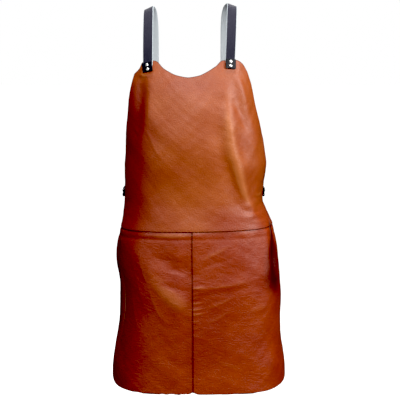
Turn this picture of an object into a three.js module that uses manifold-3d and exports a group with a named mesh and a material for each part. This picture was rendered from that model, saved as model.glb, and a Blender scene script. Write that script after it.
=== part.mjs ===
// Leather apron with a bib, a two-panel skirt, webbing shoulder straps and a webbing waist belt.
// It keeps the form that it has when worn. Millimetres, +Z up, and the front faces -Y.
// Left and right are as seen from the front. The origin lies midway between the straps, level
// with the underside of their crowns, where the shoulders carry the apron.
import * as THREE from "three";
import { mergeVertices } from "three/addons/utils/BufferGeometryUtils.js";
import Module from "manifold-3d";

const wasm = await Module();
wasm.setup();

// Driving dimensions of the leather panels
const LEATHER = 2.0;
const BIB_HEIGHT = 436;
const SKIRT_LENGTH = 415;
const CROWN_TO_SEAM = 572;
const BODY_HALF_WIDTH = 200;
const BODY_FRONT = 125;
const BODY_BACK = 100;
const SEAM_LAP = 12;
const PANEL_LAP = 12;
const SEAM_AT_WAIST = -0.034;
const SEAM_AT_HEM = -0.024;
const HEM_CORNER_LEFT = 70;
const HEM_CORNER_RIGHT = 95;
const HEM_CORNER_WIDTH = 200;
const SEAM_BAND = 14;
const FOLD_RISE = 8;
const FOLD_REACH = 20;

// Driving dimensions of the webbing, the tabs and the hardware
const WEBBING = 2.0;
const STRAP_WIDTH = 26;
const CROWN_SPACING = 212;
const BACK_SPACING = 190;
const BELT_WIDTH = 20;
const BELT_DROP = 480;
const BELT_RETURN = 30;
const TAB_LEATHER = 1.6;
const TAB_WIDTH = 27;
const TAB_HEIGHT = 25;
const TAB_CORNER = 2;
const SIDE_TAB_LENGTH = 24;
const BAR = 2.5;
const RING_BARS = 11;
const BUCKLE_LENGTH = 42;
const RIVET_CAP = 8.6;
const RIVET_DOME = 1.8;
const RIVET_SHANK = 3.0;
const RIVET_PITCH = 11;

// Clearances
const GAP = 0.3;
const SEAT_GAP = 0.6;
const RING_CLEARANCE = 1.0;

// Body form: each row is one level section. up is a share of the bib's height above the waist
// seam, or of the skirt's length below it. middle, left and right are shares of the body's half
// width, front and back are shares of its front and back depth.
const SECTIONS = [
  { up: 1.00, middle: 0.000, left: 0.840, right: 0.840, front: 0.780, back: 0.92 },
  { up: 0.88, middle: 0.000, left: 0.850, right: 0.860, front: 0.880, back: 1.00 },
  { up: 0.74, middle: 0.015, left: 0.858, right: 0.885, front: 0.965, back: 1.06 },
  { up: 0.58, middle: 0.030, left: 0.866, right: 0.920, front: 1.010, back: 1.06 },
  { up: 0.46, middle: 0.040, left: 0.875, right: 0.942, front: 1.005, back: 1.03 },
  { up: 0.39, middle: 0.050, left: 0.893, right: 0.951, front: 0.985, back: 1.00 },
  { up: 0.27, middle: 0.060, left: 0.908, right: 0.912, front: 0.945, back: 0.96 },
  { up: 0.19, middle: 0.067, left: 0.917, right: 0.889, front: 0.935, back: 0.97 },
  { up: 0.16, middle: 0.072, left: 0.924, right: 0.888, front: 0.935, back: 0.98 },
  { up: 0.12, middle: 0.078, left: 0.936, right: 0.918, front: 0.945, back: 1.00 },
  { up: 0.00, middle: 0.100, left: 1.010, right: 1.012, front: 0.985, back: 1.06 },
  { up: -0.06, middle: 0.100, left: 1.052, right: 1.043, front: 1.005, back: 1.08 },
  { up: -0.17, middle: 0.100, left: 1.075, right: 1.072, front: 1.035, back: 1.10 },
  { up: -0.33, middle: 0.100, left: 1.039, right: 1.110, front: 1.055, back: 1.12 },
  { up: -0.58, middle: 0.100, left: 1.042, right: 1.116, front: 1.070, back: 1.12 },
  { up: -0.72, middle: 0.100, left: 1.090, right: 1.128, front: 1.075, back: 1.12 },
  { up: -0.85, middle: 0.100, left: 1.128, right: 1.172, front: 1.085, back: 1.12 },
  { up: -1.00, middle: 0.100, left: 1.155, right: 1.195, front: 1.100, back: 1.12 },
];

// Edges are given in the same shares. across is 0 at the front middle line of the body and 1
// where its side stands out furthest; past 1 it goes on round the back.
const BIB_TOP = [
  { across: -0.560, up: 0.925 },
  { across: -0.478, up: 0.957 },
  { across: -0.444, up: 0.988 },
  { across: -0.400, up: 1.000 },
  { across: -0.285, up: 0.999 },
  { across: -0.215, up: 0.958 },
  { across: -0.115, up: 0.922 },
  { across: -0.009, up: 0.907 },
  { across: 0.088, up: 0.919 },
  { across: 0.160, up: 0.943 },
  { across: 0.230, up: 0.972 },
  { across: 0.290, up: 1.002 },
  { across: 0.455, up: 1.004 },
  { across: 0.545, up: 0.980 },
  { across: 0.610, up: 0.940 },
];
const BIB_LEFT = [
  { up: 0.000, across: -1.12 },
  { up: 0.120, across: -1.08 },
  { up: 0.210, across: -1.05 },
  { up: 0.330, across: -1.00 },
  { up: 0.474, across: -0.90 },
  { up: 0.630, across: -0.782 },
  { up: 0.773, across: -0.684 },
  { up: 0.925, across: -0.560 },
];
const BIB_RIGHT = [
  { up: 0.000, across: 1.12 },
  { up: 0.120, across: 1.08 },
  { up: 0.210, across: 1.05 },
  { up: 0.380, across: 1.02 },
  { up: 0.466, across: 0.975 },
  { up: 0.557, across: 0.885 },
  { up: 0.700, across: 0.750 },
  { up: 0.866, across: 0.680 },
  { up: 0.940, across: 0.610 },
];
const SKIRT_SIDE = [
  { up: 0.00, across: 1.12 },
  { up: -0.40, across: 1.14 },
  { up: -0.80, across: 1.14 },
  { up: -1.00, across: 1.15 },
];

// Rise of the waist seam's line above its level, in millimetres, at places across. It fades out
// over a share of the bib's height.
const WAIST_LINE = [
  { across: -2, rise: 4 },
  { across: -1, rise: 4 },
  { across: 0, rise: 6 },
  { across: 0.5, rise: 9 },
  { across: 1, rise: 12.5 },
  { across: 2, rise: 4 },
];
const WAIST_REACH = 0.1;
const WAIST_LIMIT = 0.3;

// Folds of the leather: each runs from its start over its middle to its end. rise is a share of
// the fold height, below zero for a hollow, and reach is a share of the fold width.
const FOLDS = [
  { name: "hollow below the left ear", rise: -0.9, reach: 1.0,
    across: [-0.45, -0.47, -0.56], up: [0.89, 0.73, 0.58] },
  { name: "ridge beside that hollow", rise: 0.4, reach: 0.9,
    across: [-0.365, -0.385, -0.48], up: [0.92, 0.75, 0.56] },
  { name: "long ridge on the right chest", rise: 0.9, reach: 0.9,
    across: [0.335, 0.325, 0.54], up: [0.82, 0.46, 0.14] },
  { name: "hollow inside that ridge", rise: -0.5, reach: 1.0,
    across: [0.255, 0.235, 0.37], up: [0.76, 0.48, 0.17] },
  { name: "hollow outside that ridge", rise: -0.35, reach: 1.1,
    across: [0.46, 0.48, 0.68], up: [0.70, 0.46, 0.16] },
  { name: "slanting crease below the right ear", rise: -0.7, reach: 0.55,
    across: [0.385, 0.455, 0.555], up: [0.81, 0.69, 0.57] },
  { name: "ridge below the right ear", rise: 0.45, reach: 0.7,
    across: [0.44, 0.49, 0.55], up: [0.92, 0.84, 0.74] },
  { name: "upper fold at the right waist", rise: 0.25, reach: 0.5,
    across: [0.38, 0.52, 0.75], up: [0.145, 0.16, 0.17] },
  { name: "lower fold at the right waist", rise: 0.25, reach: 0.5,
    across: [0.36, 0.47, 0.70], up: [0.095, 0.085, 0.10] },
  { name: "long fold on the left skirt", rise: 0.3, reach: 0.6,
    across: [-0.45, -0.40, -0.225], up: [-0.06, -0.26, -0.57] },
  { name: "broad roll on the left skirt", rise: 0.45, reach: 1.2,
    across: [-0.337, -0.187, -0.05], up: [-0.25, -0.38, -0.47] },
  { name: "hollow above that roll", rise: -0.35, reach: 1.1,
    across: [-0.34, -0.18, -0.06], up: [-0.11, -0.20, -0.26] },
  { name: "soft fold on the right skirt", rise: 0.2, reach: 0.9,
    across: [0.06, 0.22, 0.48], up: [-0.345, -0.31, -0.26] },
  { name: "deep hollow at the right hip", rise: -1.2, reach: 0.85,
    across: [0.80, 0.77, 0.75], up: [-0.03, -0.17, -0.31] },
  { name: "ridge in front of that hollow", rise: 0.35, reach: 0.7,
    across: [0.64, 0.61, 0.59], up: [-0.03, -0.18, -0.32] },
  { name: "groove down the left hip", rise: -0.7, reach: 0.7,
    across: [-0.80, -0.74, -0.76], up: [-0.04, -0.35, -0.70] },
];

// Strap run from the ear up to the crown and from the crown down to the belt. ahead is a share
// of the ear's distance in front of the crown, rise a share of its depth below the crown,
// behind a share of the belt's distance behind the crown, fall a share of the way down to the
// belt and spread a share of the way across to the line of the back straps.
const STRAP_FRONT = [
  { ahead: 0.93, rise: 0.26 },
  { ahead: 0.80, rise: 0.50 },
  { ahead: 0.60, rise: 0.74 },
  { ahead: 0.36, rise: 0.92 },
  { ahead: 0.16, rise: 0.985 },
];
const STRAP_BACK = [
  { behind: 0.16, fall: 0.004, spread: 0.30 },
  { behind: 0.36, fall: 0.022, spread: 0.65 },
  { behind: 0.58, fall: 0.065, spread: 0.90 },
  { behind: 0.78, fall: 0.135, spread: 1.0 },
  { behind: 0.94, fall: 0.240, spread: 1.0 },
  { behind: 1.04, fall: 0.380, spread: 1.0 },
  { behind: 1.08, fall: 0.520, spread: 1.0 },
  { behind: 1.05, fall: 0.680, spread: 1.0 },
  { behind: 1.01, fall: 0.840, spread: 1.0 },
];

// Ears: where each strap tab sits and its turn in degrees, and the crown of its strap, with its
// place as a share of half the crown spacing, its lift as a share of the strap's width, and its
// tilt in degrees, as one shoulder stands a little higher than the other
const EARS = {
  left: { sign: -1, across: -0.373, up: 0.964, turn: 12, crown: 0.98, lift: -0.17, tilt: 26 },
  right: { sign: 1, across: 0.371, up: 0.983, turn: -5, crown: 1.03, lift: 0.14, tilt: 20 },
};
const STRAP_END_INSET = 3;

// A strap lies straight over this share of its width on each side of the belt crossing's middle,
// and has turned to the belt's direction after this share of its way down the back
const CROSSING_REACH = 0.8;
const TURNED_BY = 0.4;

// Body roundness: 0 is an ellipse, and more makes the section squarer
const SQUARENESS = 0.04;

// Folds rise from nothing at their ends: the power shapes how soon, and the share left at an end
const FOLD_POWER = 0.6;
const FOLD_END = 0.06;
const FOLD_POINTS = 12;

// Grid of the leather panels: columns over the full width, rows of the bib and of the skirt, and
// rows of the hem corner as shares of its height
const COLUMNS = 28;
const BIB_ROWS = 26;
const SKIRT_ROWS = 12;
const CORNER_ROWS = [0, 0.03, 0.12, 0.4];
const OUTLINE_TENSION = 0.35;

// Steps of a strip's turn, of a free strap between its points, and of a round hole and rivet
const TURN_STEPS = 6;
const STRAP_STEPS = 3;
const HOLE_SIDES = 10;
const RIVET_SIDES = 12;
const CORNER_STEPS = 4;

// Step of the body's shares for its directions, and halvings in a search along its girth
const SHARE_STEP = 0.004;
const HALVINGS = 40;

const LEATHER_LOOK = { color: 0xa8521f, roughness: 0.45, metalness: 0 };
const SKIRT_LOOK = { color: 0x9c4519, roughness: 0.4, metalness: 0 };
const WEBBING_LOOK = { color: 0x2b2a33, roughness: 0.9, metalness: 0 };
const TAB_LOOK = { color: 0x141312, roughness: 0.6, metalness: 0 };
const STEEL_LOOK = { color: 0xc9c9c6, roughness: 0.25, metalness: 1 };
const BLACK_METAL_LOOK = { color: 0x1a1a1b, roughness: 0.45, metalness: 0.8 };
const PLASTIC_LOOK = { color: 0x17171a, roughness: 0.55, metalness: 0 };

const UP = new THREE.Vector3(0, 0, 1);
const LATHE_AXIS = new THREE.Vector3(0, 1, 0);
const apron = new THREE.Group();

function addMesh(name, geometry, look) {
  const mesh = new THREE.Mesh(geometry, new THREE.MeshStandardMaterial(look));
  mesh.name = name;
  apron.add(mesh);
  return mesh;
}

// Body form

// Smooth value of one column of a table at a place along its key column
function smoothColumn(table, key, column, at) {
  const rows = [...table].sort((a, b) => a[key] - b[key]);
  const place = THREE.MathUtils.clamp(at, rows[0][key], rows[rows.length - 1][key]);
  let i = 0;
  while (i < rows.length - 2 && place > rows[i + 1][key]) i += 1;
  const slope = (k) => (rows[k + 1][column] - rows[k][column]) / (rows[k + 1][key] - rows[k][key]);
  const tangent = (k) => {
    if (k === 0) return slope(0);
    if (k === rows.length - 1) return slope(k - 1);
    const before = rows[k][key] - rows[k - 1][key];
    const after = rows[k + 1][key] - rows[k][key];
    return (slope(k - 1) * after + slope(k) * before) / (before + after);
  };
  const span = rows[i + 1][key] - rows[i][key];
  const t = (place - rows[i][key]) / span;
  const t2 = t * t;
  const t3 = t2 * t;
  return (2 * t3 - 3 * t2 + 1) * rows[i][column] + (t3 - 2 * t2 + t) * span * tangent(i)
    + (3 * t2 - 2 * t3) * rows[i + 1][column] + (t3 - t2) * span * tangent(i + 1);
}

function levelOf(up) {
  return -CROWN_TO_SEAM + up * (up >= 0 ? BIB_HEIGHT : SKIRT_LENGTH);
}

function upOf(level) {
  const above = level + CROWN_TO_SEAM;
  return above / (above >= 0 ? BIB_HEIGHT : SKIRT_LENGTH);
}

// Share up on the body of a place on the leather, which is drawn up near the waist seam
function drawnUp(across, up) {
  if (Math.abs(up) > WAIST_LIMIT) return up;
  const rise = smoothColumn(WAIST_LINE, "across", "rise", across);
  return up + rise / BIB_HEIGHT * Math.exp(-((up / WAIST_REACH) ** 2));
}

const sectionCache = new Map();
function sectionAt(up) {
  if (!sectionCache.has(up)) {
    const size = { middle: BODY_HALF_WIDTH, left: BODY_HALF_WIDTH, right: BODY_HALF_WIDTH,
      front: BODY_FRONT, back: BODY_BACK };
    const section = {};
    for (const column of Object.keys(size)) {
      section[column] = smoothColumn(SECTIONS, "up", column, up) * size[column];
    }
    sectionCache.set(up, section);
  }
  return sectionCache.get(up);
}

// Point of the body's outer surface, which is the outer face of the smooth bib
function bodyPoint(across, place) {
  const up = drawnUp(across, place);
  const section = sectionAt(up);
  const angle = across * Math.PI / 2;
  const sideways = (Math.sin(angle) + SQUARENESS * Math.sin(3 * angle)) / (1 - SQUARENESS);
  const forward = (Math.cos(angle) - SQUARENESS * Math.cos(3 * angle)) / (1 - SQUARENESS);
  const x = section.middle + sideways * (sideways > 0 ? section.right : section.left);
  const y = -forward * (forward > 0 ? section.front : section.back);
  return new THREE.Vector3(x, y, levelOf(up));
}

// Local frame of the body: along runs to the viewer's right, rise goes up, out points away
function bodyFrame(across, up) {
  const along = bodyPoint(across + SHARE_STEP, up).sub(bodyPoint(across - SHARE_STEP, up)).normalize();
  const higher = Math.min(up + SHARE_STEP, 1);
  const rise = bodyPoint(across, higher).sub(bodyPoint(across, higher - 2 * SHARE_STEP)).normalize();
  const out = along.clone().cross(rise).normalize();
  return { at: bodyPoint(across, up), along, rise: out.clone().cross(along), out };
}

// Distances on the leather: a quarter of the girth for 1 across, the panel's height for 1 up
const QUARTER_GIRTH = (BODY_HALF_WIDTH + BODY_FRONT) * Math.PI / 4;

function flatPoint(across, up) {
  return new THREE.Vector2(across * QUARTER_GIRTH, levelOf(up));
}

function edgeAt(table, up) {
  return smoothColumn(table, "up", "across", up);
}

// Places on the bib where tabs sit, which hold the leather smooth
const beltUp = upOf(-BELT_DROP);
const sideAcross = {
  left: edgeAt(BIB_LEFT, beltUp) + SIDE_TAB_LENGTH / 2 / QUARTER_GIRTH,
  right: edgeAt(BIB_RIGHT, beltUp) - SIDE_TAB_LENGTH / 2 / QUARTER_GIRTH,
};
const SEATS = [
  flatPoint(EARS.left.across, EARS.left.up),
  flatPoint(EARS.right.across, EARS.right.up),
  flatPoint(sideAcross.left, beltUp),
  flatPoint(sideAcross.right, beltUp),
];

// Share of the fold height that is left near the seats
function loose(here) {
  const nearest = Math.min(...SEATS.map((seat) => seat.distanceTo(here)));
  return 1 - Math.exp(-((nearest / TAB_WIDTH) ** 4));
}

function foldRoute(fold) {
  const [start, middle, end] = fold.across.map((value, i) => flatPoint(value, fold.up[i]));
  const control = middle.clone().multiplyScalar(2).sub(start.clone().add(end).multiplyScalar(0.5));
  return new THREE.QuadraticBezierCurve(start, control, end).getPoints(FOLD_POINTS);
}

const FOLD_ROUTES = FOLDS.map((fold) => ({ fold, route: foldRoute(fold) }));

// Height of all folds at one place: each is highest on its route and fades towards its ends
function foldHeight(across, up) {
  const here = flatPoint(across, up);
  let height = 0;
  for (const { fold, route } of FOLD_ROUTES) {
    let nearest = Infinity;
    let share = 0;
    for (let i = 0; i < route.length - 1; i += 1) {
      const run = route[i + 1].clone().sub(route[i]);
      const t = THREE.MathUtils.clamp(here.clone().sub(route[i]).dot(run) / run.lengthSq(), 0, 1);
      const distance = here.distanceTo(route[i].clone().addScaledVector(run, t));
      if (distance < nearest) {
        nearest = distance;
        share = (i + t) / (route.length - 1);
      }
    }
    const fade = Math.sin(Math.PI * THREE.MathUtils.clamp(share, FOLD_END, 1 - FOLD_END)) ** FOLD_POWER;
    const spread = nearest / (fold.reach * FOLD_REACH);
    height += fold.rise * FOLD_RISE * fade * Math.exp(-spread * spread);
  }
  return height * loose(here);
}

// Leather panels

// Closed wall between an outer and an inner grid of points. Rows run upwards, columns run right.
function wallGeometry(outer, inner) {
  const rows = outer.length;
  const columns = outer[0].length;
  const positions = [...outer.flat(), ...inner.flat()].flatMap((point) => point.toArray());
  const innerStart = rows * columns;
  const at = (row, column) => row * columns + column;
  const index = [];
  const quad = (a, b, c, d) => index.push(a, b, c, a, c, d);
  for (let row = 0; row < rows - 1; row += 1) {
    for (let column = 0; column < columns - 1; column += 1) {
      const corners = [at(row, column), at(row, column + 1),
        at(row + 1, column + 1), at(row + 1, column)];
      quad(...corners);
      const [a, b, c, d] = corners.map((corner) => corner + innerStart);
      index.push(a, c, b, a, d, c);
    }
  }
  const rim = [];
  for (let column = 0; column < columns; column += 1) rim.push(at(0, column));
  for (let row = 1; row < rows; row += 1) rim.push(at(row, columns - 1));
  for (let column = columns - 2; column >= 0; column -= 1) rim.push(at(rows - 1, column));
  for (let row = rows - 2; row > 0; row -= 1) rim.push(at(row, 0));
  rim.forEach((corner, i) => {
    const next = rim[(i + 1) % rim.length];
    quad(next, corner, corner + innerStart, next + innerStart);
  });
  const geometry = new THREE.BufferGeometry();
  geometry.setAttribute("position", new THREE.Float32BufferAttribute(positions, 3));
  geometry.setIndex(index);
  geometry.computeVertexNormals();
  return geometry;
}

// Leather wall from a grid of places on the body; inset is how far its outer face lies inside
function leatherPanel(places, inset) {
  const face = (extra) => places.map((row) => row.map(({ across, up }) => {
    const { at, out } = bodyFrame(across, up);
    return at.addScaledVector(out, foldHeight(across, up) - inset(across, up) - extra);
  }));
  return wallGeometry(face(0), face(LEATHER));
}

// The columns of the bib meet those of the skirt panels in the seam lap
const MIDDLE_COLUMN = COLUMNS / 2;
const LAP_ACROSS = PANEL_LAP / QUARTER_GIRTH;
const LAP_UP = SEAM_LAP / BIB_HEIGHT;
const BAND_UP = -SEAM_BAND / SKIRT_LENGTH;

// The centre seam hangs a little to the left, more at the waist than at the hem
function seamAcross(up) {
  return THREE.MathUtils.lerp(SEAM_AT_WAIST, SEAM_AT_HEM, Math.max(0, -up));
}

// Place across of a column between the left and the right edge of a row
function columnAcross(column, left, right, seam) {
  const fromMiddle = column - MIDDLE_COLUMN;
  if (fromMiddle === 0) return seam;
  const lap = seam + Math.sign(fromMiddle) * LAP_ACROSS;
  const share = (Math.abs(fromMiddle) - 1) / (MIDDLE_COLUMN - 1);
  return THREE.MathUtils.lerp(lap, fromMiddle > 0 ? right : left, share);
}

// Four-sided patch between the seam lap, the top outline and the two side edges
function bibPlaces() {
  const top = new THREE.CatmullRomCurve3(
    BIB_TOP.map(({ across, up }) => new THREE.Vector3(across, up, 0)),
    false, "catmullrom", OUTLINE_TENSION);
  const columns = Array.from({ length: COLUMNS + 1 }, (_, column) => column);
  const places = [columns.map((column) => (
    { across: columnAcross(column, edgeAt(BIB_LEFT, 0), edgeAt(BIB_RIGHT, 0), SEAM_AT_WAIST),
      up: 0 }))];
  const leftTop = BIB_TOP[0];
  const rightTop = BIB_TOP[BIB_TOP.length - 1];
  const leftLow = edgeAt(BIB_LEFT, LAP_UP);
  const rightLow = edgeAt(BIB_RIGHT, LAP_UP);
  for (let row = 0; row <= BIB_ROWS; row += 1) {
    const v = row / BIB_ROWS;
    const leftUp = THREE.MathUtils.lerp(LAP_UP, leftTop.up, v);
    const rightUp = THREE.MathUtils.lerp(LAP_UP, rightTop.up, v);
    const leftAcross = edgeAt(BIB_LEFT, leftUp);
    const rightAcross = edgeAt(BIB_RIGHT, rightUp);
    places.push(columns.map((column) => {
      const lowAcross = columnAcross(column, leftLow, rightLow, SEAM_AT_WAIST);
      const u = column / COLUMNS;
      const high = top.getPoint(u);
      const patch = (low, up, left, right, corners) => THREE.MathUtils.lerp(low, up, v)
        + THREE.MathUtils.lerp(left, right, u)
        - THREE.MathUtils.lerp(THREE.MathUtils.lerp(corners[0], corners[1], u),
          THREE.MathUtils.lerp(corners[2], corners[3], u), v);
      return {
        across: patch(lowAcross, high.x, leftAcross, rightAcross,
          [leftLow, rightLow, leftTop.across, rightTop.across]),
        up: patch(LAP_UP, high.y, leftUp, rightUp, [LAP_UP, LAP_UP, leftTop.up, rightTop.up]),
      };
    }));
  }
  return places;
}

// Levels of the skirt from the hem up: corner rows, even rows, the seam band and the seam lap
function skirtLevels() {
  const corner = Math.max(HEM_CORNER_LEFT, HEM_CORNER_RIGHT) / SKIRT_LENGTH;
  const levels = CORNER_ROWS.map((share) => -1 + share * corner);
  for (let row = 0; row <= SKIRT_ROWS; row += 1) {
    levels.push(THREE.MathUtils.lerp(-1 + corner, BAND_UP, row / SKIRT_ROWS));
  }
  return [...levels, 0, LAP_UP];
}

// Side edge of the skirt, rounded at the hem corner
function skirtEdge(sign, up) {
  if (up >= 0) return edgeAt(sign > 0 ? BIB_RIGHT : BIB_LEFT, up);
  const corner = (sign > 0 ? HEM_CORNER_RIGHT : HEM_CORNER_LEFT) / SKIRT_LENGTH;
  const low = Math.max(0, (corner - (up + 1)) / corner);
  const cut = (1 - Math.sqrt(1 - low * low)) * HEM_CORNER_WIDTH / QUARTER_GIRTH;
  return sign * (edgeAt(SKIRT_SIDE, up) - cut);
}

function skirtPlaces(first, last) {
  return skirtLevels().map((up) => {
    const places = [];
    for (let column = first; column <= last; column += 1) {
      places.push({
        across: columnAcross(column, skirtEdge(-1, up), skirtEdge(1, up), seamAcross(up)), up,
      });
    }
    return places;
  });
}

const SKIRT_INSET = LEATHER + GAP;
const UNDERLAP_INSET = 2 * SKIRT_INSET;

const bibWall = leatherPanel(bibPlaces(), () => 0);
const rightWall = leatherPanel(skirtPlaces(MIDDLE_COLUMN, COLUMNS), () => SKIRT_INSET);
const leftWall = leatherPanel(skirtPlaces(0, MIDDLE_COLUMN + 1), (across, up) => {
  const share = THREE.MathUtils.clamp((across - seamAcross(up)) / LAP_ACROSS + 2, 0, 1);
  return THREE.MathUtils.lerp(SKIRT_INSET, UNDERLAP_INSET, share);
});

// Joining and cutting of closed meshes

function toSolid(geometry) {
  const bare = new THREE.BufferGeometry();
  bare.setAttribute("position", geometry.getAttribute("position"));
  if (geometry.index) bare.setIndex(geometry.index);
  const merged = mergeVertices(bare, 1e-4);
  const vertProperties = Float32Array.from(merged.getAttribute("position").array);
  const triVerts = Uint32Array.from(merged.index.array);
  return new wasm.Manifold(new wasm.Mesh({ numProp: 3, vertProperties, triVerts }));
}

function toGeometry(solid) {
  const { vertProperties, triVerts } = solid.getMesh();
  const geometry = new THREE.BufferGeometry();
  geometry.setAttribute("position", new THREE.Float32BufferAttribute(vertProperties, 3));
  geometry.setIndex(Array.from(triVerts));
  geometry.computeVertexNormals();
  return geometry;
}

const HOLE_REACH = 24;
const HOLE_RADIUS = RIVET_SHANK / 2 + GAP;

// Rivet hole through a piece at a point, along a direction
function drill(geometry, point, direction) {
  const bit = new THREE.CylinderGeometry(HOLE_RADIUS, HOLE_RADIUS, HOLE_REACH, HOLE_SIDES);
  bit.applyQuaternion(new THREE.Quaternion().setFromUnitVectors(LATHE_AXIS, direction));
  bit.translate(point.x, point.y, point.z);
  return toGeometry(toSolid(geometry).subtract(toSolid(bit)));
}

// Webbing and folded leather strips

// Strip of even width and thickness along a line of points. sides gives the direction of its
// width at each point, and the outer face lies on the side that run x width points to.
function stripGeometry(points, sides, width, thickness) {
  const count = points.length;
  const runs = points.slice(1).map((point, i) => point.clone().sub(points[i]).normalize());
  const positions = [];
  points.forEach((point, i) => {
    const before = runs[Math.max(i - 1, 0)];
    const after = runs[Math.min(i, count - 2)];
    const run = before.clone().add(after).normalize();
    const across = sides[i].clone().addScaledVector(run, -sides[i].dot(run)).normalize();
    const face = run.clone().cross(across).normalize();
    const mitre = 1 / Math.max(SHORTEST_COSINE, before.dot(run));
    for (const [edge, level] of [[-1, -1], [1, -1], [1, 1], [-1, 1]]) {
      const corner = point.clone().addScaledVector(across, edge * width / 2);
      corner.addScaledVector(face, level * thickness / 2 * mitre);
      positions.push(...corner.toArray());
    }
  });
  const index = [];
  const quad = (a, b, c, d) => index.push(a, b, c, a, c, d);
  for (let i = 0; i < count - 1; i += 1) {
    for (let k = 0; k < 4; k += 1) {
      const next = (k + 1) % 4;
      quad(4 * i + k, 4 * i + next, 4 * i + 4 + next, 4 * i + 4 + k);
    }
  }
  quad(3, 2, 1, 0);
  const end = 4 * (count - 1);
  quad(end, end + 1, end + 2, end + 3);
  const geometry = new THREE.BufferGeometry();
  geometry.setAttribute("position", new THREE.Float32BufferAttribute(positions, 3));
  geometry.setIndex(index);
  geometry.computeVertexNormals();
  return geometry;
}

// Distance from a core at which a turned strip's legs lie together, as a share of its radius, the
// length that its outer leg runs past the end of its inner leg, and the longest mitre of a bend
const TURN_CLOSING = 3.2;
const BEYOND_RETURN = 4;
const SHORTEST_COSINE = 0.5;

// Turn of a strip round a core. along points from the core to the strip's two legs, outward to
// its outer leg. flat is half the core's width, leg half the distance between the legs.
function turnPoints({ core, along, outward, radius, flat, leg, inside }) {
  const place = (a, o) => core.clone().addScaledVector(along, a).addScaledVector(outward, o);
  const close = flat + TURN_CLOSING * radius;
  const points = inside > 0 ? [place(close + inside, -leg)] : [];
  points.push(place(close, -leg));
  for (let i = 0; i <= TURN_STEPS; i += 1) {
    const angle = Math.PI * i / TURN_STEPS;
    if (i === 0 && flat > 0) points.push(place(flat, -radius));
    points.push(place(-flat - radius * Math.sin(angle), -radius * Math.cos(angle)));
    if (i === TURN_STEPS && flat > 0) points.push(place(flat, radius));
  }
  points.push(place(close, leg));
  if (inside > 0) points.push(place(close + inside + BEYOND_RETURN, leg));
  return points;
}

// Rivets

// Inner cap as a share of the outer one, and the shoulder of the dome as shares of its size
const INNER_CAP = 0.9;
const SHOULDER = { radius: 0.8, height: 0.7 };

// Domed cap outside, shank, flat cap inside. grip is what it holds, from outer to inner face.
function rivetGeometry(grip) {
  const cap = RIVET_CAP / 2;
  const inner = INNER_CAP * cap;
  const shank = RIVET_SHANK / 2;
  const top = GAP;
  const bottom = -grip - SEAT_GAP;
  const profile = [
    [0, bottom - RIVET_DOME / 2],
    [inner, bottom - RIVET_DOME / 2],
    [inner, bottom],
    [shank, bottom],
    [shank, top],
    [cap, top],
    [SHOULDER.radius * cap, top + SHOULDER.height * RIVET_DOME],
    [0, top + RIVET_DOME],
  ];
  return new THREE.LatheGeometry(profile.map(([r, h]) => new THREE.Vector2(r, h)), RIVET_SIDES);
}

// Rivet whose outer grip face lies at a point, pointing outwards
function addRivet(name, point, outward, grip) {
  const mesh = addMesh(name, rivetGeometry(grip), STEEL_LOOK);
  mesh.position.copy(point);
  mesh.quaternion.setFromUnitVectors(LATHE_AXIS, outward);
}

// Shoulder tabs, straps and belt

const seatedStrap = SEAT_GAP + WEBBING / 2;
const tabBack = SEAT_GAP + WEBBING + SEAT_GAP;
const HALF_PITCH = RIVET_PITCH / 2;

// Ear frame turned by the tab's turn
function earFrame(ear) {
  const frame = bodyFrame(ear.across, ear.up);
  frame.at.addScaledVector(frame.out, foldHeight(ear.across, ear.up));
  const turn = new THREE.Quaternion().setFromAxisAngle(frame.out, THREE.MathUtils.degToRad(ear.turn));
  return { ...frame, tabAlong: frame.along.clone().applyQuaternion(turn),
    tabRise: frame.rise.clone().applyQuaternion(turn) };
}

function tabGeometry() {
  const w = TAB_WIDTH / 2;
  const h = TAB_HEIGHT / 2;
  const r = TAB_CORNER;
  const outline = new THREE.Shape();
  outline.moveTo(-w + r, -h);
  outline.lineTo(w - r, -h);
  outline.absarc(w - r, -h + r, r, -Math.PI / 2, 0, false);
  outline.lineTo(w, h - r);
  outline.absarc(w - r, h - r, r, 0, Math.PI / 2, false);
  outline.lineTo(-w + r, h);
  outline.absarc(-w + r, h - r, r, Math.PI / 2, Math.PI, false);
  outline.lineTo(-w, -h + r);
  outline.absarc(-w + r, -h + r, r, Math.PI, 1.5 * Math.PI, false);
  for (const centre of [-HALF_PITCH, HALF_PITCH]) {
    const hole = new THREE.Path();
    hole.absarc(0, centre, HOLE_RADIUS, 0, 2 * Math.PI, true);
    outline.holes.push(hole);
  }
  return new THREE.ExtrudeGeometry(outline,
    { depth: TAB_LEATHER, bevelEnabled: false, curveSegments: CORNER_STEPS });
}

const beltLeg = (WEBBING + GAP) / 2;
const sideTabLeg = (TAB_LEATHER + GAP) / 2;
const sideTabMiddle = SEAT_GAP + TAB_LEATHER + GAP / 2;
const barTurn = BAR * Math.SQRT1_2 + SEAT_GAP;

// Place across where the belt line has a given x behind the body
function acrossBehind(x) {
  const sign = Math.sign(x - sectionAt(beltUp).middle);
  let near = 1;
  let far = 2;
  for (let i = 0; i < HALVINGS; i += 1) {
    const half = (near + far) / 2;
    if (sign * (bodyPoint(sign * half, beltUp).x - x) > 0) near = half;
    else far = half;
  }
  return sign * near;
}

// Point of the belt's level at a distance outside the body
function beltPoint(across, outside) {
  const { at, out } = bodyFrame(across, beltUp);
  return at.addScaledVector(out.setZ(0).normalize(), outside);
}

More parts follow.
